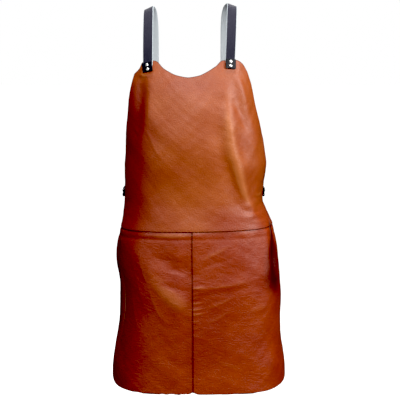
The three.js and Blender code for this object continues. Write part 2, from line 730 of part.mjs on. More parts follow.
// Straight stretch of the belt that a strap's loop goes round
function crossing(sign) {
  const across = acrossBehind(sign * BACK_SPACING / 2);
  const reach = sign * CROSSING_REACH * STRAP_WIDTH / QUARTER_GIRTH;
  const first = beltPoint(across - reach, sideTabMiddle + beltLeg);
  const second = beltPoint(across + reach, sideTabMiddle + beltLeg);
  const width = first.clone().sub(second).multiplyScalar(sign).normalize();
  const out = new THREE.Vector3(-width.y, width.x, 0);
  return { across, reach, ends: [first, second], at: first.clone().lerp(second, 0.5), width, out };
}

// Webbing strap: seated under its tab, over the shoulder, down the back and round the belt
function strapLine(ear, frame, cross) {
  const { sign } = ear;
  const seat = frame.at.clone().addScaledVector(frame.out, seatedStrap);
  const tilt = THREE.MathUtils.degToRad(-ear.tilt * sign);
  const crown = new THREE.Vector3(sign * ear.crown * CROWN_SPACING / 2, 0,
    ear.lift * STRAP_WIDTH + WEBBING / 2 / Math.cos(tilt));
  const low = seat.clone().addScaledVector(frame.rise, STRAP_END_INSET - TAB_HEIGHT / 2);
  const high = seat.clone().addScaledVector(frame.rise, TAB_HEIGHT / 2);
  const front = STRAP_FRONT.map(({ ahead, rise }) => new THREE.Vector3(
    THREE.MathUtils.lerp(high.x, crown.x, rise), high.y * ahead,
    THREE.MathUtils.lerp(high.z, crown.z, rise)));
  const turn = turnPoints({ core: cross.at, along: UP, outward: cross.out,
    radius: WEBBING + GAP, flat: BELT_WIDTH / 2 + SEAT_GAP, leg: beltLeg, inside: BELT_RETURN });
  turn.reverse();
  const back = STRAP_BACK.map(({ behind, fall, spread }) => new THREE.Vector3(
    THREE.MathUtils.lerp(crown.x, cross.at.x, spread), cross.at.y * behind,
    THREE.MathUtils.lerp(crown.z, turn[0].z, fall)));
  const crownSide = new THREE.Vector3(Math.cos(tilt), 0, Math.sin(tilt));
  const freeRun = [high, ...front, crown, ...back, turn[0]];
  const free = new THREE.CatmullRomCurve3(freeRun, false, "centripetal");
  const freePoints = free.getPoints(STRAP_STEPS * (front.length + back.length));
  const crownShare = nearestShare(freePoints, crown);
  const freeSides = freePoints.map((_, i) => {
    const share = i / (freePoints.length - 1);
    if (share < crownShare) return frame.along.clone().lerp(crownSide, share / crownShare);
    const turned = (share - crownShare) / (1 - crownShare) / TURNED_BY;
    return crownSide.clone().lerp(cross.width, Math.min(1, turned));
  });
  return { points: [low, ...freePoints, ...turn.slice(1)],
    sides: [frame.along, ...freeSides, ...turn.slice(1).map(() => cross.width)],
    riveted: turn[1].clone().lerp(turn[turn.length - 1], 0.5) };
}

function nearestShare(points, target) {
  let nearest = 0;
  points.forEach((point, i) => {
    if (point.distanceTo(target) < points[nearest].distanceTo(target)) nearest = i;
  });
  return nearest / (points.length - 1);
}

let bib = bibWall;

for (const [side, ear] of Object.entries(EARS)) {
  const frame = earFrame(ear);
  const cross = crossing(ear.sign);
  const line = strapLine(ear, frame, cross);
  let strap = stripGeometry(line.points, line.sides, STRAP_WIDTH, WEBBING);

  const tab = addMesh(`strap_tab_${side}`, tabGeometry(), TAB_LOOK);
  const basis = new THREE.Matrix4().makeBasis(frame.tabAlong, frame.tabRise, frame.out);
  tab.quaternion.setFromRotationMatrix(basis);
  tab.position.copy(frame.at).addScaledVector(frame.out, tabBack);

  const grip = tabBack + TAB_LEATHER + LEATHER;
  for (const [level, offset] of [["upper", HALF_PITCH], ["lower", -HALF_PITCH]]) {
    const point = frame.at.clone().addScaledVector(frame.tabRise, offset);
    bib = drill(bib, point, frame.out);
    strap = drill(strap, point, frame.out);
    point.addScaledVector(frame.out, tabBack + TAB_LEATHER);
    addRivet(`tab_rivet_${side}_${level}`, point, frame.out, grip);
  }

  const loopPoint = line.riveted.clone();
  strap = drill(strap, loopPoint, cross.out);
  addMesh(`shoulder_strap_${side}`, strap, WEBBING_LOOK);
  loopPoint.addScaledVector(cross.out, beltLeg + WEBBING / 2);
  addRivet(`loop_rivet_${side}`, loopPoint, cross.out, 2 * WEBBING + GAP);
}

// Side fittings, belt and buckle

const frameHeight = BELT_WIDTH + RING_CLEARANCE + 2 * BAR;
const webbingTurn = barTurn + WEBBING / 2;
const tabTurn = barTurn + TAB_LEATHER / 2;
const buckleMiddle = beltPoint(2, sideTabMiddle);

// Search range across for a place on the belt's level
const NEAREST_PLACE = 0.9;
const FURTHEST_PLACE = 2.1;

// Points of the belt: quarters of its return legs, thirds of the way on to the crossing, and the
// longest share of the way from the crossing to the buckle that its return may take
const QUARTERS = [0.25, 0.5, 0.75, 1];
const THIRDS = [1 / 3, 2 / 3];
const LONGEST_RETURN = 0.9;

// Flat plate with windows between its bars. Each window is from and to along its length.
function frameGeometry(length, windows) {
  let plate = toSolid(new THREE.BoxGeometry(length, frameHeight, BAR));
  for (const [from, to] of windows) {
    const opening = new THREE.BoxGeometry(to - from, frameHeight - 2 * BAR, 2 * BAR);
    opening.translate((from + to) / 2, 0, 0);
    plate = plate.subtract(toSolid(opening));
  }
  return toGeometry(plate);
}

// Plate placed by its middle, its length along `along` and its height upwards
function addFrame(name, geometry, at, along, outward, look) {
  const mesh = addMesh(name, geometry, look);
  const rise = outward.clone().cross(along);
  mesh.quaternion.setFromRotationMatrix(new THREE.Matrix4().makeBasis(along, rise, outward));
  mesh.position.copy(at);
}

// Seat of a side tab on the bib: back runs along the belt's level towards the rear
function sideSeat(sign) {
  const across = sign > 0 ? sideAcross.right : sideAcross.left;
  const frame = bodyFrame(across, beltUp);
  return { at: frame.at, out: frame.out, rise: frame.rise,
    back: frame.along.clone().multiplyScalar(sign) };
}

// Place across and distance outside the body of a point at the belt's level
function placeOnBody(point, sign) {
  let near = NEAREST_PLACE;
  let far = FURTHEST_PLACE;
  for (let i = 0; i < HALVINGS; i += 1) {
    const half = (near + far) / 2;
    const frame = bodyFrame(sign * half, beltUp);
    if (sign * point.clone().sub(frame.at).setZ(0).dot(frame.along) > 0) near = half;
    else far = half;
  }
  const { at, out } = bodyFrame(sign * near, beltUp);
  return { across: sign * near, outside: point.clone().sub(at).setZ(0).dot(out) };
}

// Backward direction of the body's surface at a place
function backward(across, sign) {
  return bodyFrame(across, beltUp).along.setZ(0).normalize().multiplyScalar(sign);
}

// Belt half: return leg, turn round the ring, run round the body, turn round the buckle, return
function beltLine(sign, rearBar, ringAcross) {
  const closing = RING_BARS + TURN_CLOSING * webbingTurn;
  const beltBack = backward(ringAcross + sign * closing / QUARTER_GIRTH, sign);
  const beltOut = new THREE.Vector3(beltBack.y, -beltBack.x, 0).multiplyScalar(sign);
  const buckleBar = buckleMiddle.clone();
  buckleBar.x += sign * (BUCKLE_LENGTH - BAR) / 2;
  const turn = { radius: webbingTurn, flat: 0, leg: beltLeg, inside: 0 };
  const atRing = turnPoints({ ...turn, core: rearBar, along: beltBack, outward: beltOut });
  const atBuckle = turnPoints({ ...turn, core: buckleBar, along: new THREE.Vector3(sign, 0, 0),
    outward: new THREE.Vector3(0, 1, 0) }).reverse();
  const ringEnd = placeOnBody(
    rearBar.clone().addScaledVector(beltBack, TURN_CLOSING * webbingTurn), sign);
  const buckleEnd = placeOnBody(
    buckleBar.clone().setX(buckleBar.x + sign * TURN_CLOSING * webbingTurn), sign);
  const cross = crossing(sign);
  const crossStart = cross.across - cross.reach;
  const crossEnd = cross.across + cross.reach;
  const afterRing = (share, level) => beltPoint(
    THREE.MathUtils.lerp(ringEnd.across, crossStart, share),
    THREE.MathUtils.lerp(ringEnd.outside, sideTabMiddle, share) + level);
  const beforeBuckle = (share, level) => beltPoint(
    THREE.MathUtils.lerp(crossEnd, buckleEnd.across, share),
    THREE.MathUtils.lerp(sideTabMiddle, buckleEnd.outside, share) + level);
  const span = (from, to) => Math.abs(to - from) * QUARTER_GIRTH;
  const ringShare = BELT_RETURN / span(ringEnd.across, crossStart);
  const buckleShare = Math.min(LONGEST_RETURN, BELT_RETURN / span(crossEnd, buckleEnd.across));
  const inside = QUARTERS.map((share) => afterRing(share * ringShare, -beltLeg)).reverse();
  const outside = QUARTERS.map((share) => afterRing(share * ringShare, beltLeg));
  const points = [
    ...inside,
    ...atRing,
    ...outside,
    ...THIRDS.map((share) => afterRing(THREE.MathUtils.lerp(ringShare, 1, share), beltLeg)),
    ...cross.ends,
    beforeBuckle(1 - buckleShare, beltLeg),
    beforeBuckle(1 - buckleShare / 2, beltLeg),
    ...atBuckle,
    beforeBuckle(1 - buckleShare / 2, -beltLeg),
    beforeBuckle(1 - buckleShare, -beltLeg),
  ];
  return { points, turned: inside.length + atRing.length + outside.length };
}

for (const [side, sign] of [["left", -1], ["right", 1]]) {
  const seat = sideSeat(sign);
  const middle = seat.at.clone().addScaledVector(seat.out, sideTabMiddle);
  const ahead = SIDE_TAB_LENGTH / 2 + TURN_CLOSING * tabTurn;
  const frontBar = middle.clone().addScaledVector(seat.back, ahead);
  const ringAcross = placeOnBody(frontBar, sign).across + sign * RING_BARS / 2 / QUARTER_GIRTH;
  const ringBack = backward(ringAcross, sign);
  const rearBar = frontBar.clone().addScaledVector(ringBack, RING_BARS);

  const fold = turnPoints({ core: frontBar, along: seat.back.clone().negate(), outward: seat.out,
    radius: tabTurn, flat: 0, leg: sideTabLeg, inside: SIDE_TAB_LENGTH - BEYOND_RETURN });
  let tab = stripGeometry(fold, fold.map(() => seat.rise), BELT_WIDTH, TAB_LEATHER);

  const pile = SEAT_GAP + 2 * TAB_LEATHER + GAP;
  for (const [level, offset] of [["upper", HALF_PITCH], ["lower", -HALF_PITCH]]) {
    const point = seat.at.clone().addScaledVector(seat.rise, offset);
    tab = drill(tab, point, seat.out);
    bib = drill(bib, point, seat.out);
    point.addScaledVector(seat.out, pile);
    addRivet(`side_rivet_${side}_${level}`, point, seat.out, pile + LEATHER);
  }
  addMesh(`side_tab_${side}`, tab, TAB_LOOK);

  const ringLength = RING_BARS + BAR;
  const ring = frameGeometry(ringLength, [[BAR - ringLength / 2, ringLength / 2 - BAR]]);
  const ringRise = seat.rise.clone().addScaledVector(ringBack, -seat.rise.dot(ringBack)).normalize();
  const ringOut = ringBack.clone().cross(ringRise).multiplyScalar(sign);
  const ringMiddle = frontBar.clone().lerp(rearBar, 0.5);
  addFrame(`ring_${side}`, ring, ringMiddle, ringBack, ringOut, BLACK_METAL_LOOK);

  const { points, turned } = beltLine(sign, rearBar, ringAcross);
  const sides = points.map((_, i) => (i < turned ? ringRise : UP));
  addMesh(`belt_${side}`, stripGeometry(points, sides, BELT_WIDTH, WEBBING), WEBBING_LOOK);
}

const buckleWindow = webbingTurn + WEBBING;
const buckle = frameGeometry(BUCKLE_LENGTH, [
  [BAR - BUCKLE_LENGTH / 2, BAR - BUCKLE_LENGTH / 2 + buckleWindow],
  [BUCKLE_LENGTH / 2 - BAR - buckleWindow, BUCKLE_LENGTH / 2 - BAR],
]);
addFrame("belt_buckle", buckle, buckleMiddle, new THREE.Vector3(-1, 0, 0),
  new THREE.Vector3(0, 1, 0), PLASTIC_LOOK);

addMesh("bib_panel", bib, LEATHER_LOOK);
addMesh("skirt_left", leftWall, SKIRT_LOOK);
addMesh("skirt_right", rightWall, SKIRT_LOOK);

export default apron;
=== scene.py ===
# %% [markdown]
# # A leather work apron, dressed in Blender over its measured frame
#
# The apron is a thing that a smith wears: one large bib of pebbled cowhide, a skirt of two
# smoother panels, two webbing straps over the shoulders and a webbing belt round the back. It
# keeps the form that it has when worn. The measured frame has every piece as a plain solid. This
# lesson keeps the rigid black rings and the buckle, and makes everything soft again, finer, in
# the same place and from the same sizes.
#
# Everything is in metres. The front faces -Y, +Z is up, and left and right are the viewer's.

# %% Open the frame
import math

import bpy
import numpy as np
from mathutils import Matrix, Vector

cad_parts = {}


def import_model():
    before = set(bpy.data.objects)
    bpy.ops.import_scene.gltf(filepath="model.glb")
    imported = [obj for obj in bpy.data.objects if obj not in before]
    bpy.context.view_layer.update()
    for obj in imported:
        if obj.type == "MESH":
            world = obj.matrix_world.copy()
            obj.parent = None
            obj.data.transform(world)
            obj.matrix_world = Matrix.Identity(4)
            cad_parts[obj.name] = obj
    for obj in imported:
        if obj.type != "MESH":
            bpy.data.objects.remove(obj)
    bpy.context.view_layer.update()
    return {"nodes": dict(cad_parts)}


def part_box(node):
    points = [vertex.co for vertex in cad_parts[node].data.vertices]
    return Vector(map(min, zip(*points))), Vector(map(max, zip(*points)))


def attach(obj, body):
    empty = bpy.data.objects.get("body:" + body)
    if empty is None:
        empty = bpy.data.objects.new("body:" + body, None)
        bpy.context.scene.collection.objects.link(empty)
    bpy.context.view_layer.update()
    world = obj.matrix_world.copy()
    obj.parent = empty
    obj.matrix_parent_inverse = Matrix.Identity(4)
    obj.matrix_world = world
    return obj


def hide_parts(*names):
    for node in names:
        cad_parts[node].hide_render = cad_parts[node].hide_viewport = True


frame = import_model()
scene = bpy.context.scene

# %% [markdown]
# ## The sizes
#
# The frame's own sizes come first, each under one name. Heights hang down from the crowns of the
# straps, where the shoulders carry the apron.

# %% Sizes of the leather, the webbing and the hardware
MM = 0.001
LEATHER = 2.0 * MM
BIB_HEIGHT = 436 * MM
SKIRT_LENGTH = 415 * MM
CROWN_TO_SEAM = 572 * MM
BODY_HALF_WIDTH = 200 * MM
BODY_FRONT = 125 * MM
BODY_BACK = 100 * MM
PANEL_LAP = 12 * MM
SEAM_AT_WAIST = -0.034
SEAM_AT_HEM = -0.024
HEM_CORNER_LEFT = 70 * MM
HEM_CORNER_RIGHT = 95 * MM
HEM_CORNER_WIDTH = 200 * MM
SEAM_LAP = 12 * MM
SEAM_BAND = 14 * MM
FOLD_RISE = 8 * MM
FOLD_REACH = 20 * MM
WEBBING = 2.0 * MM
STRAP_WIDTH = 26 * MM
CROWN_SPACING = 212 * MM
BACK_SPACING = 190 * MM
BELT_WIDTH = 20 * MM
BELT_DROP = 480 * MM
BELT_RETURN = 30 * MM
TAB_LEATHER = 1.6 * MM
TAB_WIDTH = 27 * MM
TAB_HEIGHT = 25 * MM
TAB_CORNER = 2 * MM
SIDE_TAB_LENGTH = 24 * MM
BAR = 2.5 * MM
RING_BARS = 11 * MM
BUCKLE_LENGTH = 42 * MM
RIVET_CAP = 8.6 * MM
RIVET_DOME = 1.8 * MM
RIVET_PITCH = 11 * MM
GAP = 0.3 * MM
SEAT_GAP = 0.6 * MM
STRAP_END_INSET = 3 * MM
SQUARENESS = 0.04
QUARTER_GIRTH = (BODY_HALF_WIDTH + BODY_FRONT) * math.pi / 4
SKIRT_INSET = LEATHER + GAP
LAP_ACROSS = PANEL_LAP / QUARTER_GIRTH
UP = np.array([0.0, 0.0, 1.0])
bib_low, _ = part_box("bib_panel")
print("waist seam in the frame", round(bib_low.z, 4), "and here", -CROWN_TO_SEAM)

# %% [markdown]
# ## The form of the wearer, without the wearer
#
# Leather takes the form of what is in it. So the form is a set of level sections from chest to
# hem, each with its own middle, half widths and depths, and a smooth curve runs through each
# column. A place on the leather is a pair of shares: `across` is 0 at the front middle and 1 at
# the side, and `up` is 1 at the ears, 0 at the waist seam and -1 at the hem. That is simpler
# than pushing vertices about, and every edge, fold and stitch can be given in the same shares.

# %% Level sections of the form
SECTIONS = np.array([
    # up, middle, left, right, front, back
    (1.00, 0.000, 0.840, 0.840, 0.780, 0.92),
    (0.88, 0.000, 0.850, 0.860, 0.880, 1.00),
    (0.74, 0.015, 0.858, 0.885, 0.965, 1.06),
    (0.58, 0.030, 0.866, 0.920, 1.010, 1.06),
    (0.46, 0.040, 0.875, 0.942, 1.005, 1.03),
    (0.39, 0.050, 0.893, 0.951, 0.985, 1.00),
    (0.27, 0.060, 0.908, 0.912, 0.945, 0.96),
    (0.19, 0.067, 0.917, 0.889, 0.935, 0.97),
    (0.16, 0.072, 0.924, 0.888, 0.935, 0.98),
    (0.12, 0.078, 0.936, 0.918, 0.945, 1.00),
    (0.00, 0.100, 1.010, 1.012, 0.985, 1.06),
    (-0.06, 0.100, 1.052, 1.043, 1.005, 1.08),
    (-0.17, 0.100, 1.075, 1.072, 1.035, 1.10),
    (-0.33, 0.100, 1.039, 1.110, 1.055, 1.12),
    (-0.58, 0.100, 1.042, 1.116, 1.070, 1.12),
    (-0.72, 0.100, 1.090, 1.128, 1.075, 1.12),
    (-0.85, 0.100, 1.128, 1.172, 1.085, 1.12),
    (-1.00, 0.100, 1.155, 1.195, 1.100, 1.12),
])

WAIST_LINE = np.array([
    # across, rise of the waist seam's line in millimetres
    (-2, 4), (-1, 4), (0, 6), (0.5, 9), (1, 12.5), (2, 4),
])
WAIST_REACH = 0.1
WAIST_LIMIT = 0.3


def smooth_column(table, at, column, key=0):
    """Value of one column of a table at places along its key column, on a smooth curve."""
    rows = table[np.argsort(table[:, key])]
    place, value = rows[:, key], rows[:, column]
    gaps = np.diff(place)
    slopes = np.diff(value) / gaps
    tangent = np.empty_like(value)
    tangent[0], tangent[-1] = slopes[0], slopes[-1]
    tangent[1:-1] = (slopes[:-1] * gaps[1:] + slopes[1:] * gaps[:-1]) / (gaps[:-1] + gaps[1:])
    at = np.clip(at, place[0], place[-1])
    i = np.clip(np.searchsorted(place, at) - 1, 0, len(gaps) - 1)
    t = (at - place[i]) / gaps[i]
    return (
        (2 * t**3 - 3 * t**2 + 1) * value[i]
        + (t**3 - 2 * t**2 + t) * gaps[i] * tangent[i]
        + (3 * t**2 - 2 * t**3) * value[i + 1]
        + (t**3 - t**2) * gaps[i] * tangent[i + 1]
    )


def level_of(up):
    return -CROWN_TO_SEAM + up * np.where(up >= 0, BIB_HEIGHT, SKIRT_LENGTH)


def drawn_up(across, up):
    """Share up on the form of a place on the leather, which is drawn up near the waist seam."""
    rise = smooth_column(WAIST_LINE, across, 1) * MM / BIB_HEIGHT
    return up + np.where(np.abs(up) > WAIST_LIMIT, 0, rise * np.exp(-((up / WAIST_REACH) ** 2)))


def form_point(across, up):
    """Points of the outer face of the smooth leather."""
    across, up = np.broadcast_arrays(np.asarray(across, float), np.asarray(up, float))
    up = drawn_up(across, up)
    middle, left, right, front, back = (smooth_column(SECTIONS, up, c) for c in range(1, 6))
    angle = across * math.pi / 2
    sideways = (np.sin(angle) + SQUARENESS * np.sin(3 * angle)) / (1 - SQUARENESS)
    forward = (np.cos(angle) - SQUARENESS * np.cos(3 * angle)) / (1 - SQUARENESS)
    x = BODY_HALF_WIDTH * (middle + sideways * np.where(sideways > 0, right, left))
    y = -forward * np.where(forward > 0, BODY_FRONT * front, BODY_BACK * back)
    return np.stack([x, y, level_of(up)], axis=-1)


def unit(v):
    return v / np.linalg.norm(v, axis=-1, keepdims=True)


def form_frame(across, up, step=0.004):
    """Point of the form with its directions to the right, upwards and outwards."""
    across, up = np.asarray(across, float), np.asarray(up, float)
    along = unit(form_point(across + step, up) - form_point(across - step, up))
    higher = np.minimum(up + step, 1)
    rise = unit(form_point(across, higher) - form_point(across, higher - 2 * step))
    out = unit(np.cross(along, rise))
    return form_point(across, up), along, np.cross(out, along), out


chest = form_point([-1, 0, 1], 0.5)
print("chest from", chest[0].round(3), "over", chest[1].round(3), "to", chest[2].round(3))

# %% [markdown]
# ## The edges of the leather
#
# The bib is cut with two ears, a hollow neckline between them and sloping armholes. The skirt's
# panels have rounded hem corners. Each edge is a short table of places.

# %% Edges of the bib and the skirt
BIB_TOP = np.array([
    (-0.560, 0.925), (-0.478, 0.957), (-0.444, 0.988), (-0.400, 1.000), (-0.285, 0.999),
    (-0.215, 0.958), (-0.115, 0.922), (-0.009, 0.907), (0.088, 0.919), (0.160, 0.943),
    (0.230, 0.972), (0.290, 1.002), (0.455, 1.004), (0.545, 0.980), (0.610, 0.940),
])
BIB_LEFT = np.array([
    (0.000, -1.12), (0.120, -1.08), (0.210, -1.05), (0.330, -1.00),
    (0.474, -0.90), (0.630, -0.782), (0.773, -0.684), (0.925, -0.560),
])
BIB_RIGHT = np.array([
    (0.000, 1.12), (0.120, 1.08), (0.210, 1.05), (0.380, 1.02), (0.466, 0.975),
    (0.557, 0.885), (0.700, 0.750), (0.866, 0.680), (0.940, 0.610),
])
SKIRT_SIDE = np.array([(0.00, 1.12), (-0.40, 1.14), (-0.80, 1.14), (-1.00, 1.15)])


def edge_at(table, up):
    return smooth_column(table, np.asarray(up, float), 1)


def through(points, steps, tension=None):
    """Smooth curve through points: even if tension is given, else with its bends evened out."""
    points = np.asarray(points, float)
    ends = [2 * points[0] - points[1], *points, 2 * points[-1] - points[-2]]
    made = []
    for i in range(len(points) - 1):
        a, b, c, d = ends[i:i + 4]
        if tension is None:
            gaps = [max(np.linalg.norm(q - p) ** 0.5, 1e-4) for p, q in ((a, b), (b, c), (c, d))]
            first = (b - a) / gaps[0] - (c - a) / (gaps[0] + gaps[1]) + (c - b) / gaps[1]
            last = (c - b) / gaps[1] - (d - b) / (gaps[1] + gaps[2]) + (d - c) / gaps[2]
            first, last = first * gaps[1], last * gaps[1]
        else:
            first, last = tension * (c - a), tension * (d - b)
        for t in np.arange(steps) / steps:
            made.append(
                (2 * t**3 - 3 * t**2 + 1) * b + (t**3 - 2 * t**2 + t) * first
                + (3 * t**2 - 2 * t**3) * c + (t**3 - t**2) * last
            )
    return np.array([*made, points[-1]])


print("neckline dips", round(float(BIB_HEIGHT * (1 - BIB_TOP[:, 1].min()) * 1000)), "mm below the ears")

# %% [markdown]
# ## Folds and wrinkles
#
# Two kinds of relief make the leather look worn. The large folds are the frame's own, with two
# of them spread softer: a hollow below the left ear, a long ridge on the right chest, deep
# hollows at the hips. The small ones
# are new here: creases across the lap, puckers that the centre seam pulls into the right panel,
# and thin lines where the leather has been bent often. Each runs over three places, is highest
# on its line and fades towards its ends. Both kinds use one function, and that is easier to
# steer than a simulation, because each fold stays where the real one is.

# %% Tables of folds and wrinkles
FOLDS = [
    # across over three places, up over three places, rise, reach
    ((-0.45, -0.47, -0.56), (0.89, 0.73, 0.58), -0.9, 1.0),
    ((-0.365, -0.385, -0.48), (0.92, 0.75, 0.56), 0.4, 0.9),
    ((0.335, 0.325, 0.54), (0.82, 0.46, 0.14), 0.9, 0.9),
    ((0.255, 0.235, 0.37), (0.76, 0.48, 0.17), -0.5, 1.0),
    ((0.46, 0.48, 0.68), (0.70, 0.46, 0.16), -0.35, 1.1),
    ((0.385, 0.455, 0.555), (0.81, 0.69, 0.57), -0.55, 0.8),
    ((0.44, 0.49, 0.55), (0.92, 0.84, 0.74), 0.45, 0.7),
    ((0.38, 0.52, 0.75), (0.145, 0.16, 0.17), 0.25, 0.5),
    ((0.36, 0.47, 0.70), (0.095, 0.085, 0.10), 0.25, 0.5),
    ((-0.45, -0.40, -0.225), (-0.06, -0.26, -0.57), 0.14, 1.0),
    ((-0.337, -0.187, -0.05), (-0.25, -0.38, -0.47), 0.45, 1.2),
    ((-0.34, -0.18, -0.06), (-0.11, -0.20, -0.26), -0.35, 1.1),
    ((0.06, 0.22, 0.48), (-0.345, -0.31, -0.26), 0.2, 0.9),
    ((0.80, 0.77, 0.75), (-0.03, -0.17, -0.31), -1.2, 0.85),
    ((0.64, 0.61, 0.59), (-0.03, -0.18, -0.32), 0.35, 0.7),
    ((-0.80, -0.74, -0.76), (-0.04, -0.35, -0.70), -0.7, 0.7),
]
WRINKLES = [
    # the same, with rise and reach in millimetres
    ((-0.529, -0.588, -0.658), (0.632, 0.555, 0.482), 1.2, 7),
    ((-0.40, -0.34, -0.27), (0.60, 0.53, 0.45), 0.7, 4),
    ((-0.33, -0.28, -0.20), (0.66, 0.60, 0.56), 0.4, 6),
    ((0.34, 0.41, 0.52), (0.39, 0.27, 0.16), 1.0, 6),
    ((0.27, 0.31, 0.40), (0.41, 0.31, 0.21), -0.8, 7),
    ((0.30, 0.305, 0.32), (0.70, 0.62, 0.52), 0.7, 6),
    ((0.45, 0.60, 0.80), (0.125, 0.11, 0.125), -0.9, 5),
    ((0.40, 0.56, 0.76), (0.06, 0.045, 0.05), 0.8, 6),
    ((0.62, 0.72, 0.84), (0.22, 0.215, 0.235), 0.9, 5),
    ((0.64, 0.74, 0.86), (0.30, 0.28, 0.285), -0.7, 6),
    ((-0.62, -0.74, -0.88), (0.20, 0.17, 0.18), -0.8, 7),
    ((-0.60, -0.72, -0.86), (0.12, 0.10, 0.10), 0.7, 6),
    ((-0.337, -0.187, -0.06), (-0.25, -0.385, -0.48), 1.2, 19),
    ((-0.344, -0.182, -0.06), (-0.10, -0.196, -0.25), -1.4, 15),
    ((-0.45, -0.41, -0.36), (-0.08, -0.22, -0.33), 0.5, 3),
    ((-0.52, -0.46, -0.36), (-0.12, -0.34, -0.52), 0.5, 3.5),
    ((-0.36, -0.30, -0.22), (-0.33, -0.46, -0.56), 0.6, 3),
    ((-0.58, -0.52, -0.44), (-0.30, -0.50, -0.66), 0.6, 4),
    ((-0.30, -0.20, -0.06), (-0.145, -0.165, -0.18), -0.6, 5),
    ((-0.28, -0.17, -0.04), (-0.30, -0.33, -0.36), -0.8, 6),
    ((-0.25, -0.15, -0.04), (-0.235, -0.25, -0.275), 0.6, 5),
    ((-0.34, -0.24, -0.10), (-0.50, -0.57, -0.60), -0.7, 8),
    ((0.005, 0.125, 0.265), (-0.169, -0.12, -0.067), 0.7, 5),
    ((0.02, 0.15, 0.30), (-0.21, -0.175, -0.13), -0.6, 6),
    ((-0.02, 0.18, 0.44), (-0.345, -0.32, -0.285), 0.6, 6),
    ((-0.01, 0.18, 0.42), (-0.385, -0.36, -0.33), -0.6, 8),
    ((0.03, 0.14, 0.30), (-0.47, -0.43, -0.36), 0.6, 5),
    ((0.03, 0.13, 0.26), (-0.57, -0.52, -0.45), 0.5, 6),
    ((0.25, 0.38, 0.52), (-0.10, -0.14, -0.22), -0.6, 9),
    ((0.30, 0.44, 0.60), (-0.50, -0.47, -0.46), 0.5, 9),
    ((0.758, 0.654, 0.604), (-0.031, -0.181, -0.324), 1.0, 3),
    ((-0.753, -0.675, -0.704), (-0.012, -0.343, -0.701), 1.0, 4),
    ((-0.68, -0.62, -0.60), (-0.75, -0.82, -0.93), -0.9, 9),
    ((0.10, 0.20, 0.34), (-0.78, -0.82, -0.88), 0.5, 9),
    ((-0.30, -0.16, -0.05), (-0.74, -0.80, -0.84), -0.6, 10),
]
PUCKERS = [
    # up beside the centre seam, length and rise in millimetres
    (-0.335, 19, 1.3), (-0.372, 14, 0.7), (-0.398, 12, 0.8), (-0.432, 17, 1.0),
    (-0.470, 14, 0.9), (-0.500, 18, 1.1), (-0.545, 12, 0.7), (-0.590, 10, 0.6),
    (-0.640, 9, 0.5), (-0.285, 10, 0.5),
]
PUCKER_REACH = 2.6
PAINTED_HIGHLIGHTS = [
    # painted highlight lines: across, up, strength, reach in millimetres
    ((0.33, 0.335, 0.56), (0.82, 0.42, 0.15), 1.6, 14),
    ((-0.44, -0.41, -0.38), (0.90, 0.925, 0.93), 2.0, 9),
    ((-0.36, -0.20, -0.04), (-0.022, -0.022, -0.025), 1.4, 6),
]

# %% Height of the folds at a place
FOLD_POINTS = 12
FOLD_END = 0.06


def flat_place(across, up):
    """Place on the leather laid flat, in metres."""
    return np.stack([np.asarray(across) * QUARTER_GIRTH, level_of(np.asarray(up))], axis=-1)


def along_line(across, up, across_line, up_line):
    """Distance from a line over three places of the leather, and the share along it."""
    start, middle, end = flat_place(np.array(across_line), np.array(up_line))
    control = 2 * middle - (start + end) / 2
    t = np.linspace(0, 1, FOLD_POINTS + 1)[:, None]
    route = (1 - t) ** 2 * start + 2 * t * (1 - t) * control + t**2 * end
    here = flat_place(across, up)
    nearest = np.full(here.shape[:-1], np.inf)
    share = np.zeros_like(nearest)
    for i, (p, q) in enumerate(zip(route[:-1], route[1:])):
        run = q - p
        part = np.clip((here - p) @ run / (run @ run), 0, 1)
        distance = np.linalg.norm(here - p - part[..., None] * run, axis=-1)
        share = np.where(distance < nearest, (i + part) / FOLD_POINTS, share)
        nearest = np.minimum(distance, nearest)
    return nearest, share


def fold_height(across, up, across_line, up_line, rise, reach):
    """Height of one fold that runs over three places of the leather."""
    nearest, share = along_line(across, up, across_line, up_line)
    fade = np.sin(math.pi * np.clip(share, FOLD_END, 1 - FOLD_END)) ** 0.6
    return rise * fade * np.exp(-((nearest / reach) ** 2))


def large_folds(across, up):
    return sum(fold_height(across, up, a, u, FOLD_RISE * rise, FOLD_REACH * reach)
               for a, u, rise, reach in FOLDS)


def small_wrinkles(across, up):
    return sum(fold_height(across, up, a, u, MM * rise, MM * reach)
               for a, u, rise, reach in WRINKLES)


def seam_across(up):
    """Place of the centre seam, which hangs a little to the left."""
    return SEAM_AT_WAIST + (SEAM_AT_HEM - SEAM_AT_WAIST) * np.maximum(0, -np.asarray(up, float))


def puckers(across, up):
    """Short ridges that start in the centre seam and run into the right panel."""
    total = 0
    for at, length, rise in PUCKERS:
        far = MM * length / QUARTER_GIRTH
        line = tuple(float(seam_across(at)) + far * share for share in (-0.2, 0.4, 1.0))
        total = total + fold_height(across, up, line, (at, at + 0.004, at + 0.010),
                                    MM * rise, MM * PUCKER_REACH)
    return total


# Painted highlights along the chest ridge, under the left tab and below the waist seam.
def painted_highlight_lines(across, up):
    return sum(fold_height(across, up, a, u, strength, MM * reach) for a, u, strength, reach in PAINTED_HIGHLIGHTS)


print(len(FOLDS), "folds,", len(WRINKLES), "wrinkles and", len(PUCKERS), "puckers")

# %% [markdown]
# Leather that is pressed under a tab lies smooth, so all relief fades out near the four tabs. A
# hide is never perfectly even either. A few long, low waves with fixed phases keep the light from
# sliding over it as over a plastic shell.

